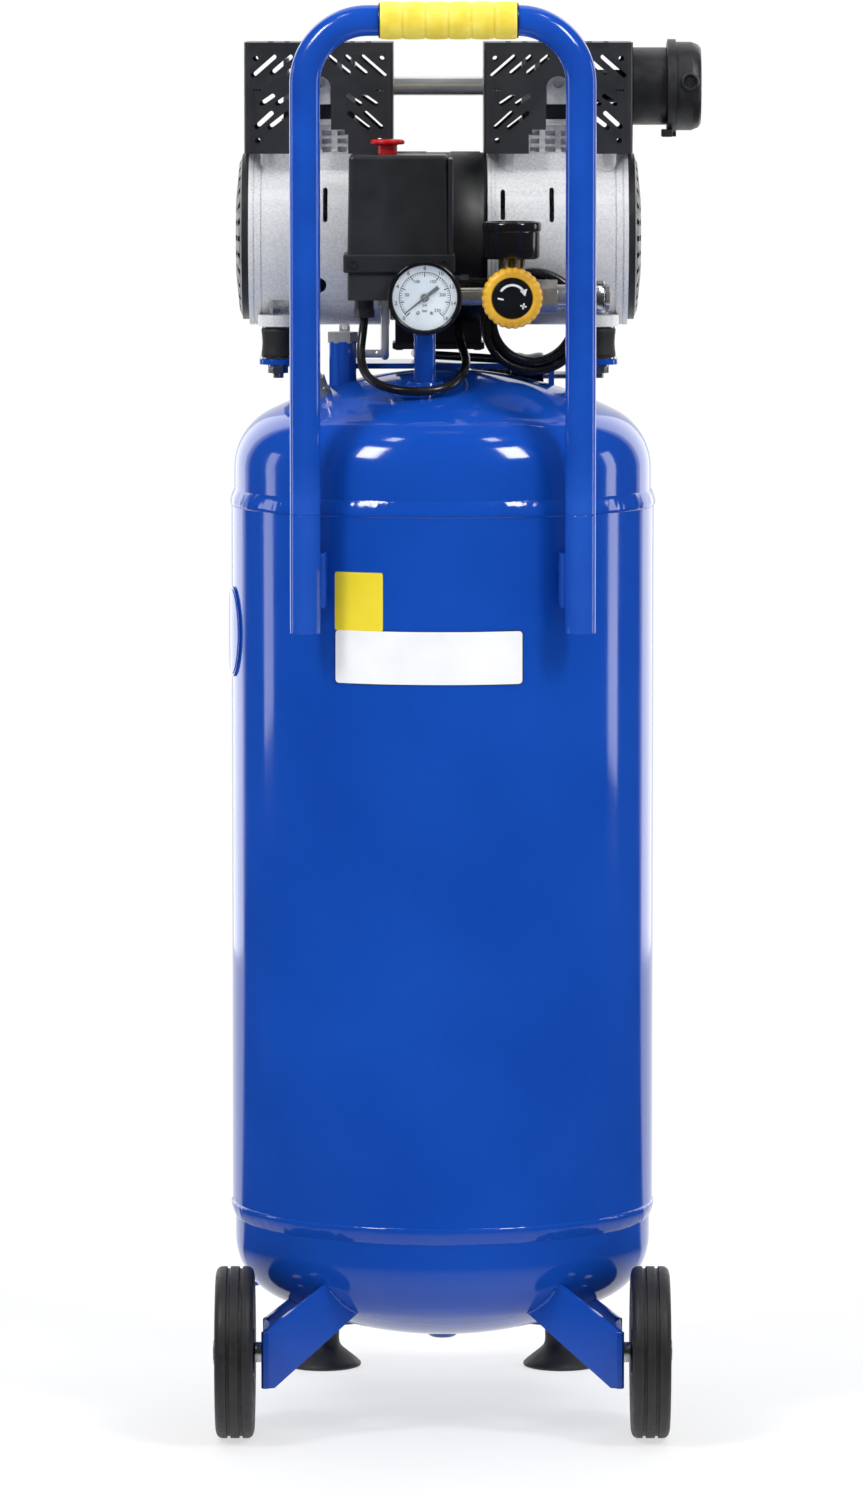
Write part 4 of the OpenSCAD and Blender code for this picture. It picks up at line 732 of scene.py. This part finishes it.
rides(joined("gripShadeRings", ends), "frame", blackAbs)
print("handle ready")

# wheels: a solid tyre with three treads and fine marks on its walls, and the rings raised on the rim
wheelSet = {"axleFront": 110, "axleZ": 62.5, "outer": 165, "wide": 28}
tread = [(44.5, 3), (47, 1.6), (50.5, 1), (54, 0.2), (57.4, 0.1), (59.6, 0.7), (61.0, 1.6), (62.1, 3.2),
         (62.5, 5), (62.5, 8.0), (62.2, 8.3), (61.1, 8.5), (60.9, 9.2), (60.9, 10.0), (61.1, 10.6),
         (62.2, 10.8), (62.5, 11.2), (62.5, 14)]
tread += [(r, wheelSet["wide"] - h) for r, h in reversed(tread[:-1])]
tyreAt = Vector((axisX + (wheelSet["outer"] - wheelSet["wide"]) * mm, axisY - wheelSet["axleFront"] * mm,
                 wheelSet["axleZ"] * mm))
tyreRight = turned("tyreRight", tread, tyreAt, 120, right, smooth=28)
# how many marks, how far out, how deep each sits, and its size along the axle, round and outwards
markSet = {"count": 24, "radius": 55, "sunk": 0.25, "size": (0.35, 0.7, 3.2)}
marks = []
for face in (markSet["sunk"], wheelSet["wide"] - markSet["sunk"]):
    bpy.ops.mesh.primitive_cube_add(size=1, location=(0, 0, 0))
    mark = justAdded("mark")
    mark.scale = [v * mm for v in markSet["size"]]
    mark.location = (face * mm, 0, markSet["radius"] * mm)
    placeInMesh(mark)
    rounded(mark, 0.12, 1)
    pick(mark)
    bpy.ops.object.mode_set(mode="EDIT")
    bpy.ops.mesh.select_all(action="SELECT")
    bpy.ops.mesh.spin(steps=markSet["count"], dupli=True, angle=math.tau, center=(0, 0, 0), axis=(1, 0, 0))
    bpy.ops.object.mode_set(mode="OBJECT")
    mark.data.transform(Matrix.Translation(tyreAt))
    marks.append(closeUp(mark, 30))
tyreRight = joined("tyreRight", marks + [tyreRight])
tyreLeft = mirrored(tyreRight, "tyreLeft", axisX)
rides(tyreRight, "wheel_right", tyreRubber, ["tyre_right"])
rides(tyreLeft, "wheel_left", tyreRubber, ["tyre_left"])
hubOutline = [(17, 22.2), (19.5, 22.2), (19.9, 22.8), (19.9, 24), (19.4, 24.6), (17.6, 24.6), (17, 24)]
rimOutline = [(43.2, 24.4), (44.6, 24.6), (45.2, 25.4), (44.8, 26.2), (43.4, 26.0)]
hubRing = turned("hubRings", hubOutline, tyreAt - Vector((1.4 * mm, 0, 0)), 64, right)
rimRing = turned("rimLip", rimOutline, tyreAt - Vector((0.6 * mm, 0, 0)), 96, right)
hubRight = joined("hubRingsRight", [rimRing, hubRing])
hubLeft = mirrored(hubRight, "hubRingsLeft", axisX)
rides(hubRight, "wheel_right", glassNylon)
rides(hubLeft, "wheel_left", glassNylon)
print("wheels ready")

# feet: bell-shaped rubber, turned from one outline
footSet = {"x": 91, "back": 190}
footOutline = [(0, 1.6), (14, 1.2), (18, 0.1), (26.6, 0), (28.4, 0.6), (29, 1.8), (28.7, 3.0), (26.4, 5.2),
               (23.0, 8.0), (19.2, 11), (15.8, 13.8), (13.6, 16), (12.5, 18.4), (12.1, 22), (12.4, 30),
               (12.2, 33.4), (11.4, 34), (4, 34)]
feet = []
for side in (-1, 1):
    where = tankAxis + Vector((side * footSet["x"], footSet["back"], 0)) * mm
    feet.append(turned("foot", footOutline, where, 64, smooth=40))
rides(joined("rubberFeet", feet), "frame", softRubber, ["rubber_feet"])

# rubber mounts: a waisted block between two bonded steel plates
mountSet = {"x": 117.5, "y": (3, 97), "shift": -3, "foot": 7.5, "levels": (0, 22.6)}
mountOutline = [(4, 1.4), (11.6, 1.4), (12.3, 2.2), (12.3, 4), (11.9, 7), (11.6, 12), (11.9, 17), (12.3, 20),
                (12.3, 21.8), (11.6, 22.6), (4, 22.6)]
plateOutline = [(4, 0.02), (12, 0.02), (12.4, 0.3), (12.4, 1.1), (12, 1.38), (4, 1.38)]
mounts, plates = [], []
for side in (-1, 1):
    for y in mountSet["y"]:
        where = at(mountSet["shift"] + side * mountSet["x"], y, mountSet["foot"])
        mounts.append(turned("mount", mountOutline, where, 48))
        for level in mountSet["levels"]:
            plates.append(turned("plate", plateOutline, where + Vector((0, 0, level * mm)), 48))
rides(joined("rubberMounts", mounts), "frame", softRubber, ["rubber_mounts"])
rides(joined("mountPlates", plates), "frame", zincSteel)
print("feet and mounts ready")

# pieces whose shape is right already: each gets the rounding that its own making leaves
plainSet = {
    "handle_sockets": (tubeEnamel, 0.7), "wheel_brackets": (blueEnamel, 0.9), "foot_legs": (blueEnamel, 0.9),
    "motor_brackets": (blueEnamel, 1.0), "wheel_rim_left": (glassNylon, 0.9),
    "wheel_rim_right": (glassNylon, 0.9), "axle_bolts": (zincSteel, 0.5),
    "drain_valve": (turnedBrass, 0.5), "drain_lever": (blueNylon, 0.7),
    "crankcase_left": (castAluminium, 1.1), "crankcase_right": (castAluminium, 1.1),
    "fan_grilles": (glassNylon, 0.6), "motor_shaft": (zincSteel, 0.5), "motor_fans": (fanNylon, 0.5),
    "shaft_bearings": (zincSteel, 0.4), "cylinders": (finAluminium, 0.6),
    "cylinder_heads": (finAluminium, 0.9), "piston_left": (finAluminium, 0.6),
    "piston_right": (finAluminium, 0.6), "valve_plates": (blackLacquer, 0.6),
    "head_guard_left": (satinAbs, 1.2), "head_guard_right": (satinAbs, 1.2), "cross_pipe": (chromePlate, 0.4),
    "air_filter_body": (glassNylon, 1.0), "air_filter_cap": (glassNylon, 1.2), "fasteners": (zincSteel, 0.35),
    "switch_base": (satinAbs, 1.0), "cable_glands": (glassNylon, 0.6), "manifold": (nickelPlate, 0.9),
    "regulator_body": (nickelPlate, 0.8), "coupler_body": (nickelPlate, 0.5),
    "safety_valve": (nickelPlate, 0.5), "safety_valve_ring": (zincSteel, 0.3), "air_pipes": (tinnedTube, 0.5)}
dressed = {node: softened(node, look, edge) for node, (look, edge) in plainSet.items()}
print("CAD pieces softened")

# stator: a smooth barrel of laminations between the two crankcases
statorLow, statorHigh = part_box("stator_housing")
statorAt = Vector((statorLow.x, (statorLow.y + statorHigh.y) / 2, (statorLow.z + statorHigh.z) / 2))
statorLen, statorR = (statorHigh.x - statorLow.x) / mm, (statorHigh.z - statorLow.z) / 2 / mm
halfBarrel = [(40, 0.4), (statorR - 2, 0.4), (statorR - 1.2, 1), (statorR - 1.2, 5), (statorR - 0.4, 5.8),
              (statorR - 0.4, statorLen / 2 - 9), (statorR - 1.0, statorLen / 2 - 8.6)]
barrel = halfBarrel + [(r, statorLen - h) for r, h in reversed(halfBarrel)]
rides(turned("statorBarrel", barrel, statorAt, 128, right), "frame", blackOxide,
      ["stator_housing"])

# the check valve's body is painted with the tank, unlike the tubes that meet in it
valveSet = {"x": -73, "y": -4, "radius": 12.5, "painted": 19}
valve = dressed["air_pipes"]
valve.data.materials.append(tubeEnamel)
valveAt = at(valveSet["x"], valveSet["y"], valveSet["painted"])
selectFaces(valve, lambda place, normal: place.z < valveAt.z and
            math.hypot(place.x - valveAt.x, place.y - valveAt.y) < valveSet["radius"] * mm)
valve.active_material_index = 1
bpy.ops.object.material_slot_assign()
bpy.ops.object.mode_set(mode="OBJECT")

# riser of the gauge: a pipe with a collar, welded to the dome, spattered by the weld and painted over
riserSet = {"x": -13, "y": -66.3, "radius": 8, "collar": 11.5, "foot": -16, "step": -6, "top": 44,
            "rows": 39, "apart": 1.28, "weld": 11.2, "spatter": 0.75}
stem = [(0, riserSet["foot"]), (riserSet["collar"], riserSet["foot"]),
        (riserSet["collar"], riserSet["step"] - 0.5), (riserSet["collar"] - 0.5, riserSet["step"])]
stem += [(riserSet["radius"] - 0.2, riserSet["step"] + row * riserSet["apart"])
         for row in range(riserSet["rows"])]
stem += [(riserSet["radius"] - 0.7, riserSet["top"]), (0, riserSet["top"])]
riser = turned("gaugeRiser", stem, at(riserSet["x"], riserSet["y"], 0), 72)
rides(roughened(riser, 2.4, riserSet["spatter"]), "frame", blueEnamel, ["gauge_riser"])

# dark box under the stator, behind the motor's lead: its shape is a guess and no solid stands for it; it also
# fills in the shade under the motor with a dark solid
boxSet = {"x": (-37, 31), "y": (41, 78), "z": (12.5, 35), "lid": 5, "inset": 2, "screwIn": 5}
low, high = [at(boxSet["x"][i], boxSet["y"][i], boxSet["z"][i]) for i in (0, 1)]
inset, screwIn = boxSet["inset"], boxSet["screwIn"] * mm
lid = block("underBoxLid", low, (high.x, high.y, low.z + boxSet["lid"] * mm), 1.2)
body = block("underBoxBody", low + Vector((inset, inset, boxSet["lid"] - 1)) * mm,
             high - Vector((inset, inset, 0)) * mm, 1.6)
lidScrews = [hexagon("lidScrew", 5, 1.4, Vector((x, y, low.z + 0.6 * mm)), -up, boreMm=2.6, edgeMm=0.2)
             for x in (low.x + screwIn, high.x - screwIn) for y in (low.y + screwIn, high.y - screwIn)]
rides(joined("underMotorBox", lidScrews + [lid, body]), "frame", glassNylon)

# intake of the air filter, in the front of its cap, and the latch at the cap's inner end
filterSet = {"portIn": 8.5, "portSunk": 1.6, "portUp": 5, "latch": (4, 14, 34, 5.5)}
capLow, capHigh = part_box("air_filter_cap")
portAt = Vector((capHigh.x - filterSet["portIn"] * mm, capLow.y + filterSet["portSunk"] * mm,
                 (capLow.z + capHigh.z) / 2 + filterSet["portUp"] * mm))
portOutline = [(0, -0.5), (4.4, -0.4), (4.6, 1.0), (5.0, 1.5), (6.0, 1.5), (6.5, 1.0), (6.8, -1.5),
               (6.8, -5), (0, -5)]
port = turned("filterPort", portOutline, portAt, 40, front)
reach, near, far, rise = [v * mm for v in filterSet["latch"]]
latch = block("filterLatch", (capLow.x - reach, capLow.y + near, capLow.z),
              (capLow.x + reach, capLow.y + far, capLow.z + rise), 0.9)
rides(joined("filterFittings", [port, latch]), "frame", glassNylon)

# welds that carry what is fixed to the tank
welds = []
strapSet = {"edges": (84.5, 89.5), "foot": 608.8, "high": 39, "weld": 3.4}
for side in (-1, 1):
    for edge in strapSet["edges"]:
        y = -math.sqrt(tankSet["shell"] ** 2 - edge ** 2)
        heights = [strapSet["foot"] + step * strapSet["high"] / 12 for step in range(13)]
        run = [tankAxis + Vector((side * edge, y, z)) * mm for z in heights]
        welds.append(weldAlong(run, strapSet["weld"]))
ring = []
for step in range(25):
    a = math.tau * step / 24
    x, y = riserSet["x"] + riserSet["weld"] * math.cos(a), riserSet["y"] + riserSet["weld"] * math.sin(a)
    ring.append(at(x, y, headHeight(math.hypot(x, y)) - tankSet["rise"]))
welds.append(weldAlong(ring, 5.0))


def edgeHeight(corners, reach):
    # height at reach of an edge that runs straight from corner to corner and on past its ends
    later = [pair for pair in zip(corners[1:], corners[2:]) if reach > pair[0][0]]
    start, end = later[-1] if later else corners[:2]
    return start[1] + (reach - start[0]) * (end[1] - start[1]) / (end[0] - start[0])


def weldToHead(place, reaches, sheet):
    # a bead where a sheet standing on the lower head, between its two edges, meets the head's surface
    points = []
    for reach in reaches:
        x, y = place(reach)
        radius = math.hypot(x, y)
        z = base + tankSet["rise"] - headHeight(radius) if radius < tankSet["head"] else 1e6
        if edgeHeight(sheet["lower"], reach) < z < edgeHeight(sheet["upper"], reach):
            points.append(tankAxis + Vector((x, y, z)) * mm)
    if len(points) > 4:
        welds.append(weldAlong(points, 3.4))


# corners of each sheet's edges: how far in from the wheel or the foot, and how high
base = tankBottom / mm
bracketSet = {"web": 130, "toe": 22, "wide": 64, "front": 110, "sheet": 4,
              "lower": ((9, 41), (74, base + 31), (100, base + 52)),
              "upper": ((48, base + 53), (100, base + 80))}
toe, half = math.radians(bracketSet["toe"]), bracketSet["wide"] / 2
for side in (-1, 1):
    for face in (-half, bracketSet["sheet"] - half, half - bracketSet["sheet"], half):
        weldToHead(lambda reach: (side * (bracketSet["web"] - reach * math.cos(toe)),
                                  -bracketSet["front"] + face + reach * math.sin(toe)),
                   range(40, 101, 3), bracketSet)
legSet = {"apart": 18, "half": 2, "lower": ((22, 34), (110, base + 20)),
          "upper": ((-20, 40), (60, base + 62), (110, base + 62))}
legAngle, legReach = math.atan2(footSet["back"], footSet["x"]), math.hypot(footSet["x"], footSet["back"])
nearArm, farArm = legSet["apart"] - legSet["half"], legSet["apart"] + legSet["half"]
for side in (-1, 1):
    for arm in (-farArm, -nearArm, nearArm, farArm):
        weldToHead(lambda reach: (side * ((legReach - reach) * math.cos(legAngle) - arm * math.sin(legAngle)),
                                  (legReach - reach) * math.sin(legAngle) + arm * math.cos(legAngle)),
                   range(56, 111, 3), legSet)
rides(closeUp(joined("handWelds", welds), 80), "frame", blueEnamel)
print("welds ready", len(welds))

# pressure switch: cover with a wider foot and a rib down its right edge, and the red button
switchLow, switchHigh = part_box("switch_cover")
coverSet = {"step": 2.8, "foot": 13.5, "rib": 3.8, "corner": 3.5, "taper": (0.965, 0.95, 1),
            "screwUp": 6.5, "screwIn": (7, 8)}
low, high = switchLow + Vector((coverSet["step"], coverSet["step"] * 0.6, 2)) * mm, switchHigh.copy()
high.x -= coverSet["rib"] * mm
bpy.ops.mesh.primitive_cube_add(size=1, location=(low + high) / 2)
shell = justAdded("switchShell")
shell.scale = high - low
placeInMesh(shell)
selectFaces(shell, lambda place, normal: normal.z > 0.9)
bpy.ops.transform.resize(value=coverSet["taper"])
bpy.ops.object.mode_set(mode="OBJECT")
rounded(shell, coverSet["corner"], 5)
foot = block("switchFoot", switchLow, (switchHigh.x, switchHigh.y, switchLow.z + coverSet["foot"] * mm),
             1.6, 4)
rib = block("switchRib", (switchHigh.x - 5.2 * mm, switchLow.y + 1.0 * mm, switchLow.z + 12 * mm),
            (switchHigh.x - 1.4 * mm, switchHigh.y - 4 * mm, switchHigh.z - 2.6 * mm), 1.5, 4)
rides(joined("switchCover", [foot, rib, shell]), "frame", satinAbs, ["switch_cover"])
buttonLow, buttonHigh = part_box("switch_knob")
buttonAt = Vector(((buttonLow.x + buttonHigh.x) / 2, (buttonLow.y + buttonHigh.y) / 2, switchHigh.z))
buttonOutline = [(0, -18), (6.4, -18), (7, -17.4), (7, 6.4), (7.6, 7), (11, 7.2), (12.1, 7.7), (12.5, 8.5),
                 (12.4, 9.6), (11.6, 10.5), (10, 10.95), (8.6, 10.9), (8, 10.6), (7.4, 10.9), (4, 11.2),
                 (0, 11.3)]
rides(turned("redButton", buttonOutline, buttonAt, 64, smooth=40), "switch_button", redAbs,
      ["switch_knob"])
screws = []
for x in (switchLow.x + coverSet["screwIn"][0] * mm, switchHigh.x - coverSet["screwIn"][1] * mm):
    where = (x, switchLow.y - 0.1 * mm, switchLow.z + coverSet["screwUp"] * mm)
    screws.append(hexagon("coverScrew", 5.5, 1.6, where, front, boreMm=3, edgeMm=0.25))
rides(joined("coverScrews", screws), "frame", blackLacquer)

# tapered sleeve where the mains lead leaves its gland
reliefSet = {"ribs": 6, "apart": 3.4, "thick": 5.7, "thinner": 0.28, "droop": 0.02}
reliefOutline = [(3.3, -3), (6.2, -3), (6.4, -1), (5.9, 0)]
for i in range(reliefSet["ribs"]):
    size, h = reliefSet["thick"] - i * reliefSet["thinner"], i * reliefSet["apart"]
    reliefOutline += [(size, 1 + h), (size - 0.1, 3.2 + h), (size - 0.9, 3.5 + h), (size - 0.9, 4.1 + h)]
reliefOutline += [(4.1, 21.6), (3.9, 24), (3.3, 24.4)]
relief = turned("leadRelief", reliefOutline, mainsRoute[0], 40, (1, 0, reliefSet["droop"]))
rides(relief, "frame", blackAbs)

# mains plug: moulded body with a waist to hold it by, its own ribbed sleeve and two round pins
plugSet = {"ribs": 5, "apart": 4.6, "thick": 5.6, "wider": 0.75, "pins": 9.5}
plugAt = mainsRoute[-1]
plugOutline = [(3.2, -4), (5.3, -4), (5.5, 0)]
for i in range(plugSet["ribs"]):
    size, h = plugSet["thick"] + i * plugSet["wider"], i * plugSet["apart"]
    plugOutline += [(size + 0.5, 1 + h), (size + 0.7, 3.4 + h), (size - 0.3, 3.8 + h), (size - 0.2, 4.8 + h)]
plugOutline += [(9, 23.6), (14.5, 25.4), (16.4, 27.6), (17, 30), (16.6, 33.5), (15.6, 37), (15.9, 41),
                (16.8, 44.5), (17, 47), (16.8, 49.3), (16, 50), (9, 50), (0, 50)]
plugBody = turned("plugBody", plugOutline, plugAt, 64, right)
pinOutline = [(0, 49.5), (2.4, 49.5), (2.4, 67), (2.0, 68.4), (1.1, 69), (0, 69)]
pins = [turned("pin", pinOutline, plugAt + Vector((0, side * plugSet["pins"] * mm, 0)), 24, right)
        for side in (-1, 1)]
rides(plugBody, "frame", blackAbs, ["mains_plug"])
plugPins = rides(joined("plugPins", pins), "frame", nickelPlate)
print("switch and plug ready")

# gauges: black case, rolled bezel, printed face, needle and lens
inkMm = 0.12


def dialTicks(radius, longMm, wideMm, count, fromDeg, sweepDeg):
    bpy.ops.mesh.primitive_cube_add(size=1, location=((radius - longMm / 2) * mm, 0, 0))
    tick = justAdded("tick")
    tick.scale = (longMm * mm, wideMm * mm, inkMm * mm)
    placeInMesh(tick)
    bpy.ops.object.mode_set(mode="EDIT")
    bpy.ops.mesh.select_all(action="SELECT")
    bpy.ops.mesh.spin(steps=count, dupli=True, angle=math.radians(sweepDeg), center=(0, 0, 0), axis=(0, 0, 1))
    bpy.ops.object.mode_set(mode="OBJECT")
    tick.data.transform(Matrix.Rotation(math.radians(fromDeg), 4, "Z"))
    return tick


def arcStrip(radius, wideMm, fromDeg, sweepDeg):
    strip = line("arc", [(radius - wideMm / 2, 0, -inkMm / 2), (radius + wideMm / 2, 0, -inkMm / 2)])
    bpy.ops.mesh.extrude_region_move(TRANSFORM_OT_translate={"value": (0, 0, inkMm * mm)})
    bpy.ops.mesh.select_all(action="SELECT")
    bpy.ops.mesh.spin(steps=90, angle=math.radians(sweepDeg), center=(0, 0, 0), axis=(0, 0, 1))
    bpy.ops.object.mode_set(mode="OBJECT")
    strip.data.transform(Matrix.Rotation(math.radians(fromDeg), 4, "Z"))
    return closeUp(strip, 30)


def numeral(body, radius, degrees, sizeMm):
    bpy.ops.object.text_add()
    obj = bpy.context.object
    obj.data.body = body
    obj.data.align_x, obj.data.align_y = "CENTER", "CENTER"
    obj.data.size = sizeMm * mm
    obj.data.extrude = inkMm * mm / 2
    obj.data.offset = sizeMm * 0.02 * mm
    bpy.ops.object.convert(target="MESH")
    obj = justAdded("numeral")
    a = math.radians(degrees)
    obj.data.transform(Matrix.Translation((radius * math.cos(a) * mm, radius * math.sin(a) * mm, 0)))
    return obj


# what both dials print: tick counts, the numbers round the scale and inside it, and the scale's sweep
dialSet = {"fine": 48, "coarse": 8, "outer": range(0, 17, 2), "inner": (50, 100, 150, 200, 250),
           "from": 225, "sweep": 270, "scale": 0.71, "needle": 218}


def gauge(label, node, needleNode, needleBody, where, aim, own):
    size, depth, digits = own["size"] / 2, own["depth"], own["digits"]
    caseOutline = [(0, 0), (size - 3, 0), (size - 1, 0.7), (size - 0.3, 2), (size - 0.3, depth - 7.4),
                   (size + 0.3, depth - 6.8), (size + 0.8, depth - 6.2), (size + 0.8, depth - 2.2),
                   (size + 0.6, depth - 1.1), (size - 0.1, depth - 0.3), (size - 1.0, depth),
                   (size - 1.9, depth - 0.3), (size - 2.6, depth - 1.2), (size - 2.7, depth - 5.9),
                   (0, depth - 5.9)]
    case = turned(label + "Case", caseOutline, where, 96, aim, smooth=40)
    rides(case, "frame", blackAbs, [node])
    faceOutline = [(0, depth - 5.4), (size - 3.6, depth - 5.4), (size - 2.8, depth - 5.1),
                   (size - 2.75, depth - 5.9), (0, depth - 5.9)]
    rides(turned(label + "Face", faceOutline, where, 64, aim), "frame", dialTin)
    start, sweep, scale = dialSet["from"], dialSet["sweep"], size * dialSet["scale"]
    inked = [dialTicks(scale, size * 0.08, 0.42, dialSet["fine"], start, sweep),
             dialTicks(scale, size * 0.13, 0.8, dialSet["coarse"], start, sweep),
             arcStrip(scale, 0.45, start, sweep)]
    steps = len(dialSet["outer"]) - 1
    for i, number in enumerate(dialSet["outer"]):
        inked.append(numeral(str(number), size * 0.81, start - sweep * i / steps, digits))
    step = sweep / len(dialSet["inner"])
    for i, number in enumerate(dialSet["inner"]):
        inked.append(numeral(str(number), size * 0.5, start - step * (i + 1), digits * 0.8))
    for unit, out in (("psi", 0.2), ("bar", 0.36)):
        inked.append(numeral(unit, size * out, 270, digits * 0.75))
    ink = joined(label + "Print", inked)
    ink.data.transform(Matrix.Translation((0, 0, (depth - 5.34) * mm)))
    rides(stood(ink, where, aim), "frame", printInk)
    screwOutline = [(0, 0.9), (0.7, 0.85), (1.3, 0.5), (1.4, 0)]
    heads = [turned("dialScrew", screwOutline,
                    (x * size * 0.19 * mm, -size * 0.42 * mm, (depth - 5.4) * mm), 20) for x in (-1, 1)]
    rides(stood(joined(label + "Screws", heads), where, aim), "frame", nickelPlate)
    tip, tail = own["size"] * 0.36, own["size"] * 0.24
    hand = plate("hand", [(-tail, -1.5), (-tail * 0.35, -1.3), (0, -1.0), (tip, -0.3), (tip, 0.3), (0, 1.0),
                          (-tail * 0.35, 1.3), (-tail, 1.5)], 0.4, edgeMm=0.08)
    hub = turned("hub", [(1.3, 0), (3, 0), (3.1, 0.5), (2.6, 1.1), (1.3, 1.2)], (0, 0, -0.1 * mm), 32)
    needle = joined(label + "Needle", [hand, hub])
    needle.data.transform(Matrix.Translation((0, 0, (depth - 4.5) * mm)))
    rides(stood(needle, where, aim, dialSet["needle"]), needleBody, blackLacquer,
          [needleNode])
    pinOutline = [(0, depth - 3.0), (0.8, depth - 3.05), (1.15, depth - 3.3), (1.2, depth - 5.6),
                  (0, depth - 5.6)]
    rides(turned(label + "Pin", pinOutline, where, 24, aim), "frame", turnedBrass)
    glass = [(0, depth - 0.6), (size * 0.5, depth - 0.85), (size - 3, depth - 1.5),
             (size - 2.75, depth - 1.7), (size - 2.75, depth - 2.4), (size - 3.2, depth - 2.5),
             (size * 0.5, depth - 1.95), (0, depth - 1.7)]
    return turned(label + "Lens", glass, where, 64, aim)


gaugeSet = {"tank": {"size": 52, "depth": 24, "digits": 4.0, "at": (-13, -74.5, 56)},
            "outlet": {"size": 41, "depth": 27, "digits": 3.2, "at": (50, -66, 83)}}
lenses = [gauge(name + "Gauge", name + "_gauge", name + "_gauge_needle", name + "_needle",
                at(*own["at"]), aim, own)
          for (name, own), aim in zip(gaugeSet.items(), (front, up))]
rides(joined("gaugeLenses", lenses), "frame", clearLens, ["gauge_lenses"])
print("gauges ready")

# regulator knob: a scalloped golden grip with a black disc and white marks
knobSet = {"ribs": 26, "dent": 0.7, "at": (50, -83, 56), "marksUp": 21.9}
knobAt = at(*knobSet["at"])
gripRows = [(10, 0, 0), (16.6, 0, 0), (17.2, 1.4, 0), (20.6, 3.4, 0.5), (21.9, 5.2, 0.9), (22.2, 8, 1),
            (22.2, 16, 1), (21.6, 19.2, 0.9), (20.2, 21.4, 0.6), (18, 22.4, 0.25), (15.6, 22.6, 0),
            (15.0, 22.2, 0), (14.9, 20.6, 0), (8, 20.4, 0)]
grip = ribbed("knobGrip", gripRows, knobSet["ribs"], knobSet["dent"], knobAt, front, 6)
rides(grip, "regulator_handwheel", knobAcetal, ["regulator_knob"])
discOutline = [(0, 21.9), (12, 21.8), (14.2, 21.5), (14.7, 21.0), (14.75, 20.2), (0, 20.2)]
disc = turned("knobDisc", discOutline, knobAt, 64, front)
rides(disc, "regulator_handwheel", blackAbs)
arrowSet = {"radius": 9.6, "wide": 1.7, "from": 148, "sweep": 112, "tip": 28, "turned": -166}
arrow = arcStrip(arrowSet["radius"], arrowSet["wide"], arrowSet["from"], arrowSet["sweep"])
tipAt = math.radians(arrowSet["tip"])
head = plate("arrowHead", [(-2.8, -1.8), (2.8, -1.8), (0, 3.0)], inkMm,
             (arrowSet["radius"] * math.cos(tipAt) * mm, arrowSet["radius"] * math.sin(tipAt) * mm,
              -inkMm / 2 * mm), spin=arrowSet["turned"])
# one bar for the minus sign and two crossed for the plus
barOutline = [(-2.2, -0.6), (2.2, -0.6), (2.2, 0.6), (-2.2, 0.6)]
signs = [plate("sign", barOutline, inkMm, (x * mm, y * mm, -inkMm / 2 * mm), spin=spin)
         for x, y, spin in ((-8.4, -0.4, -12), (8.0, -5.6, -12), (8.0, -5.6, 78))]
marks = joined("knobMarks", [arrow, head] + signs)
marks.data.transform(Matrix.Translation((0, 0, knobSet["marksUp"] * mm)))
rides(stood(marks, knobAt, front), "regulator_handwheel", whiteFilm)

# brass union under the outlet gauge, over the regulator's own hexagon
unionSet = {"x": 50, "y": -66, "across": 17.4, "high": 8.2, "foot": 74.9, "collar": 75.2}
collarOutline = [(0, -6), (7.3, -6), (7.6, -5.4), (7.6, -0.5), (7.2, 0), (0, 0)]
union = [hexagon("union", unionSet["across"], unionSet["high"],
                 at(unionSet["x"], unionSet["y"], unionSet["foot"]), up, edgeMm=0.8),
         turned("unionCollar", collarOutline, at(unionSet["x"], unionSet["y"], unionSet["collar"]), 40)]
rides(joined("outletUnion", union), "frame", forgedBrass)

# quick coupler: knurled steel sleeve over its body
sleeveSet = {"ribs": 42, "dent": 0.5}
sleeveLow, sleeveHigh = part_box("coupler_sleeve")
sleeveAt = Vector((sleeveLow.x, (sleeveLow.y + sleeveHigh.y) / 2, (sleeveLow.z + sleeveHigh.z) / 2))
sleeveRows = [(8.7, 0, 0), (11, 0, 0), (12, 0.7, 0), (12, 4, 0), (12.2, 4.6, 0.4), (12.6, 5.2, 1),
              (12.6, 10, 1), (12.2, 10.6, 0.4), (11.7, 11.2, 0), (11.7, 12.6, 0), (12.2, 13.2, 0.4),
              (12.6, 13.8, 1), (12.6, 19, 1), (12.2, 19.6, 0.4), (12, 20.4, 0), (12, 25.2, 0),
              (11.4, 26, 0), (8.8, 26, 0)]
sleeve = ribbed("couplerSleeve", sleeveRows, sleeveSet["ribs"], sleeveSet["dent"], sleeveAt, right, 3)
rides(sleeve, "coupler_collar", zincSteel, ["coupler_sleeve"])
print("regulator and coupler ready")
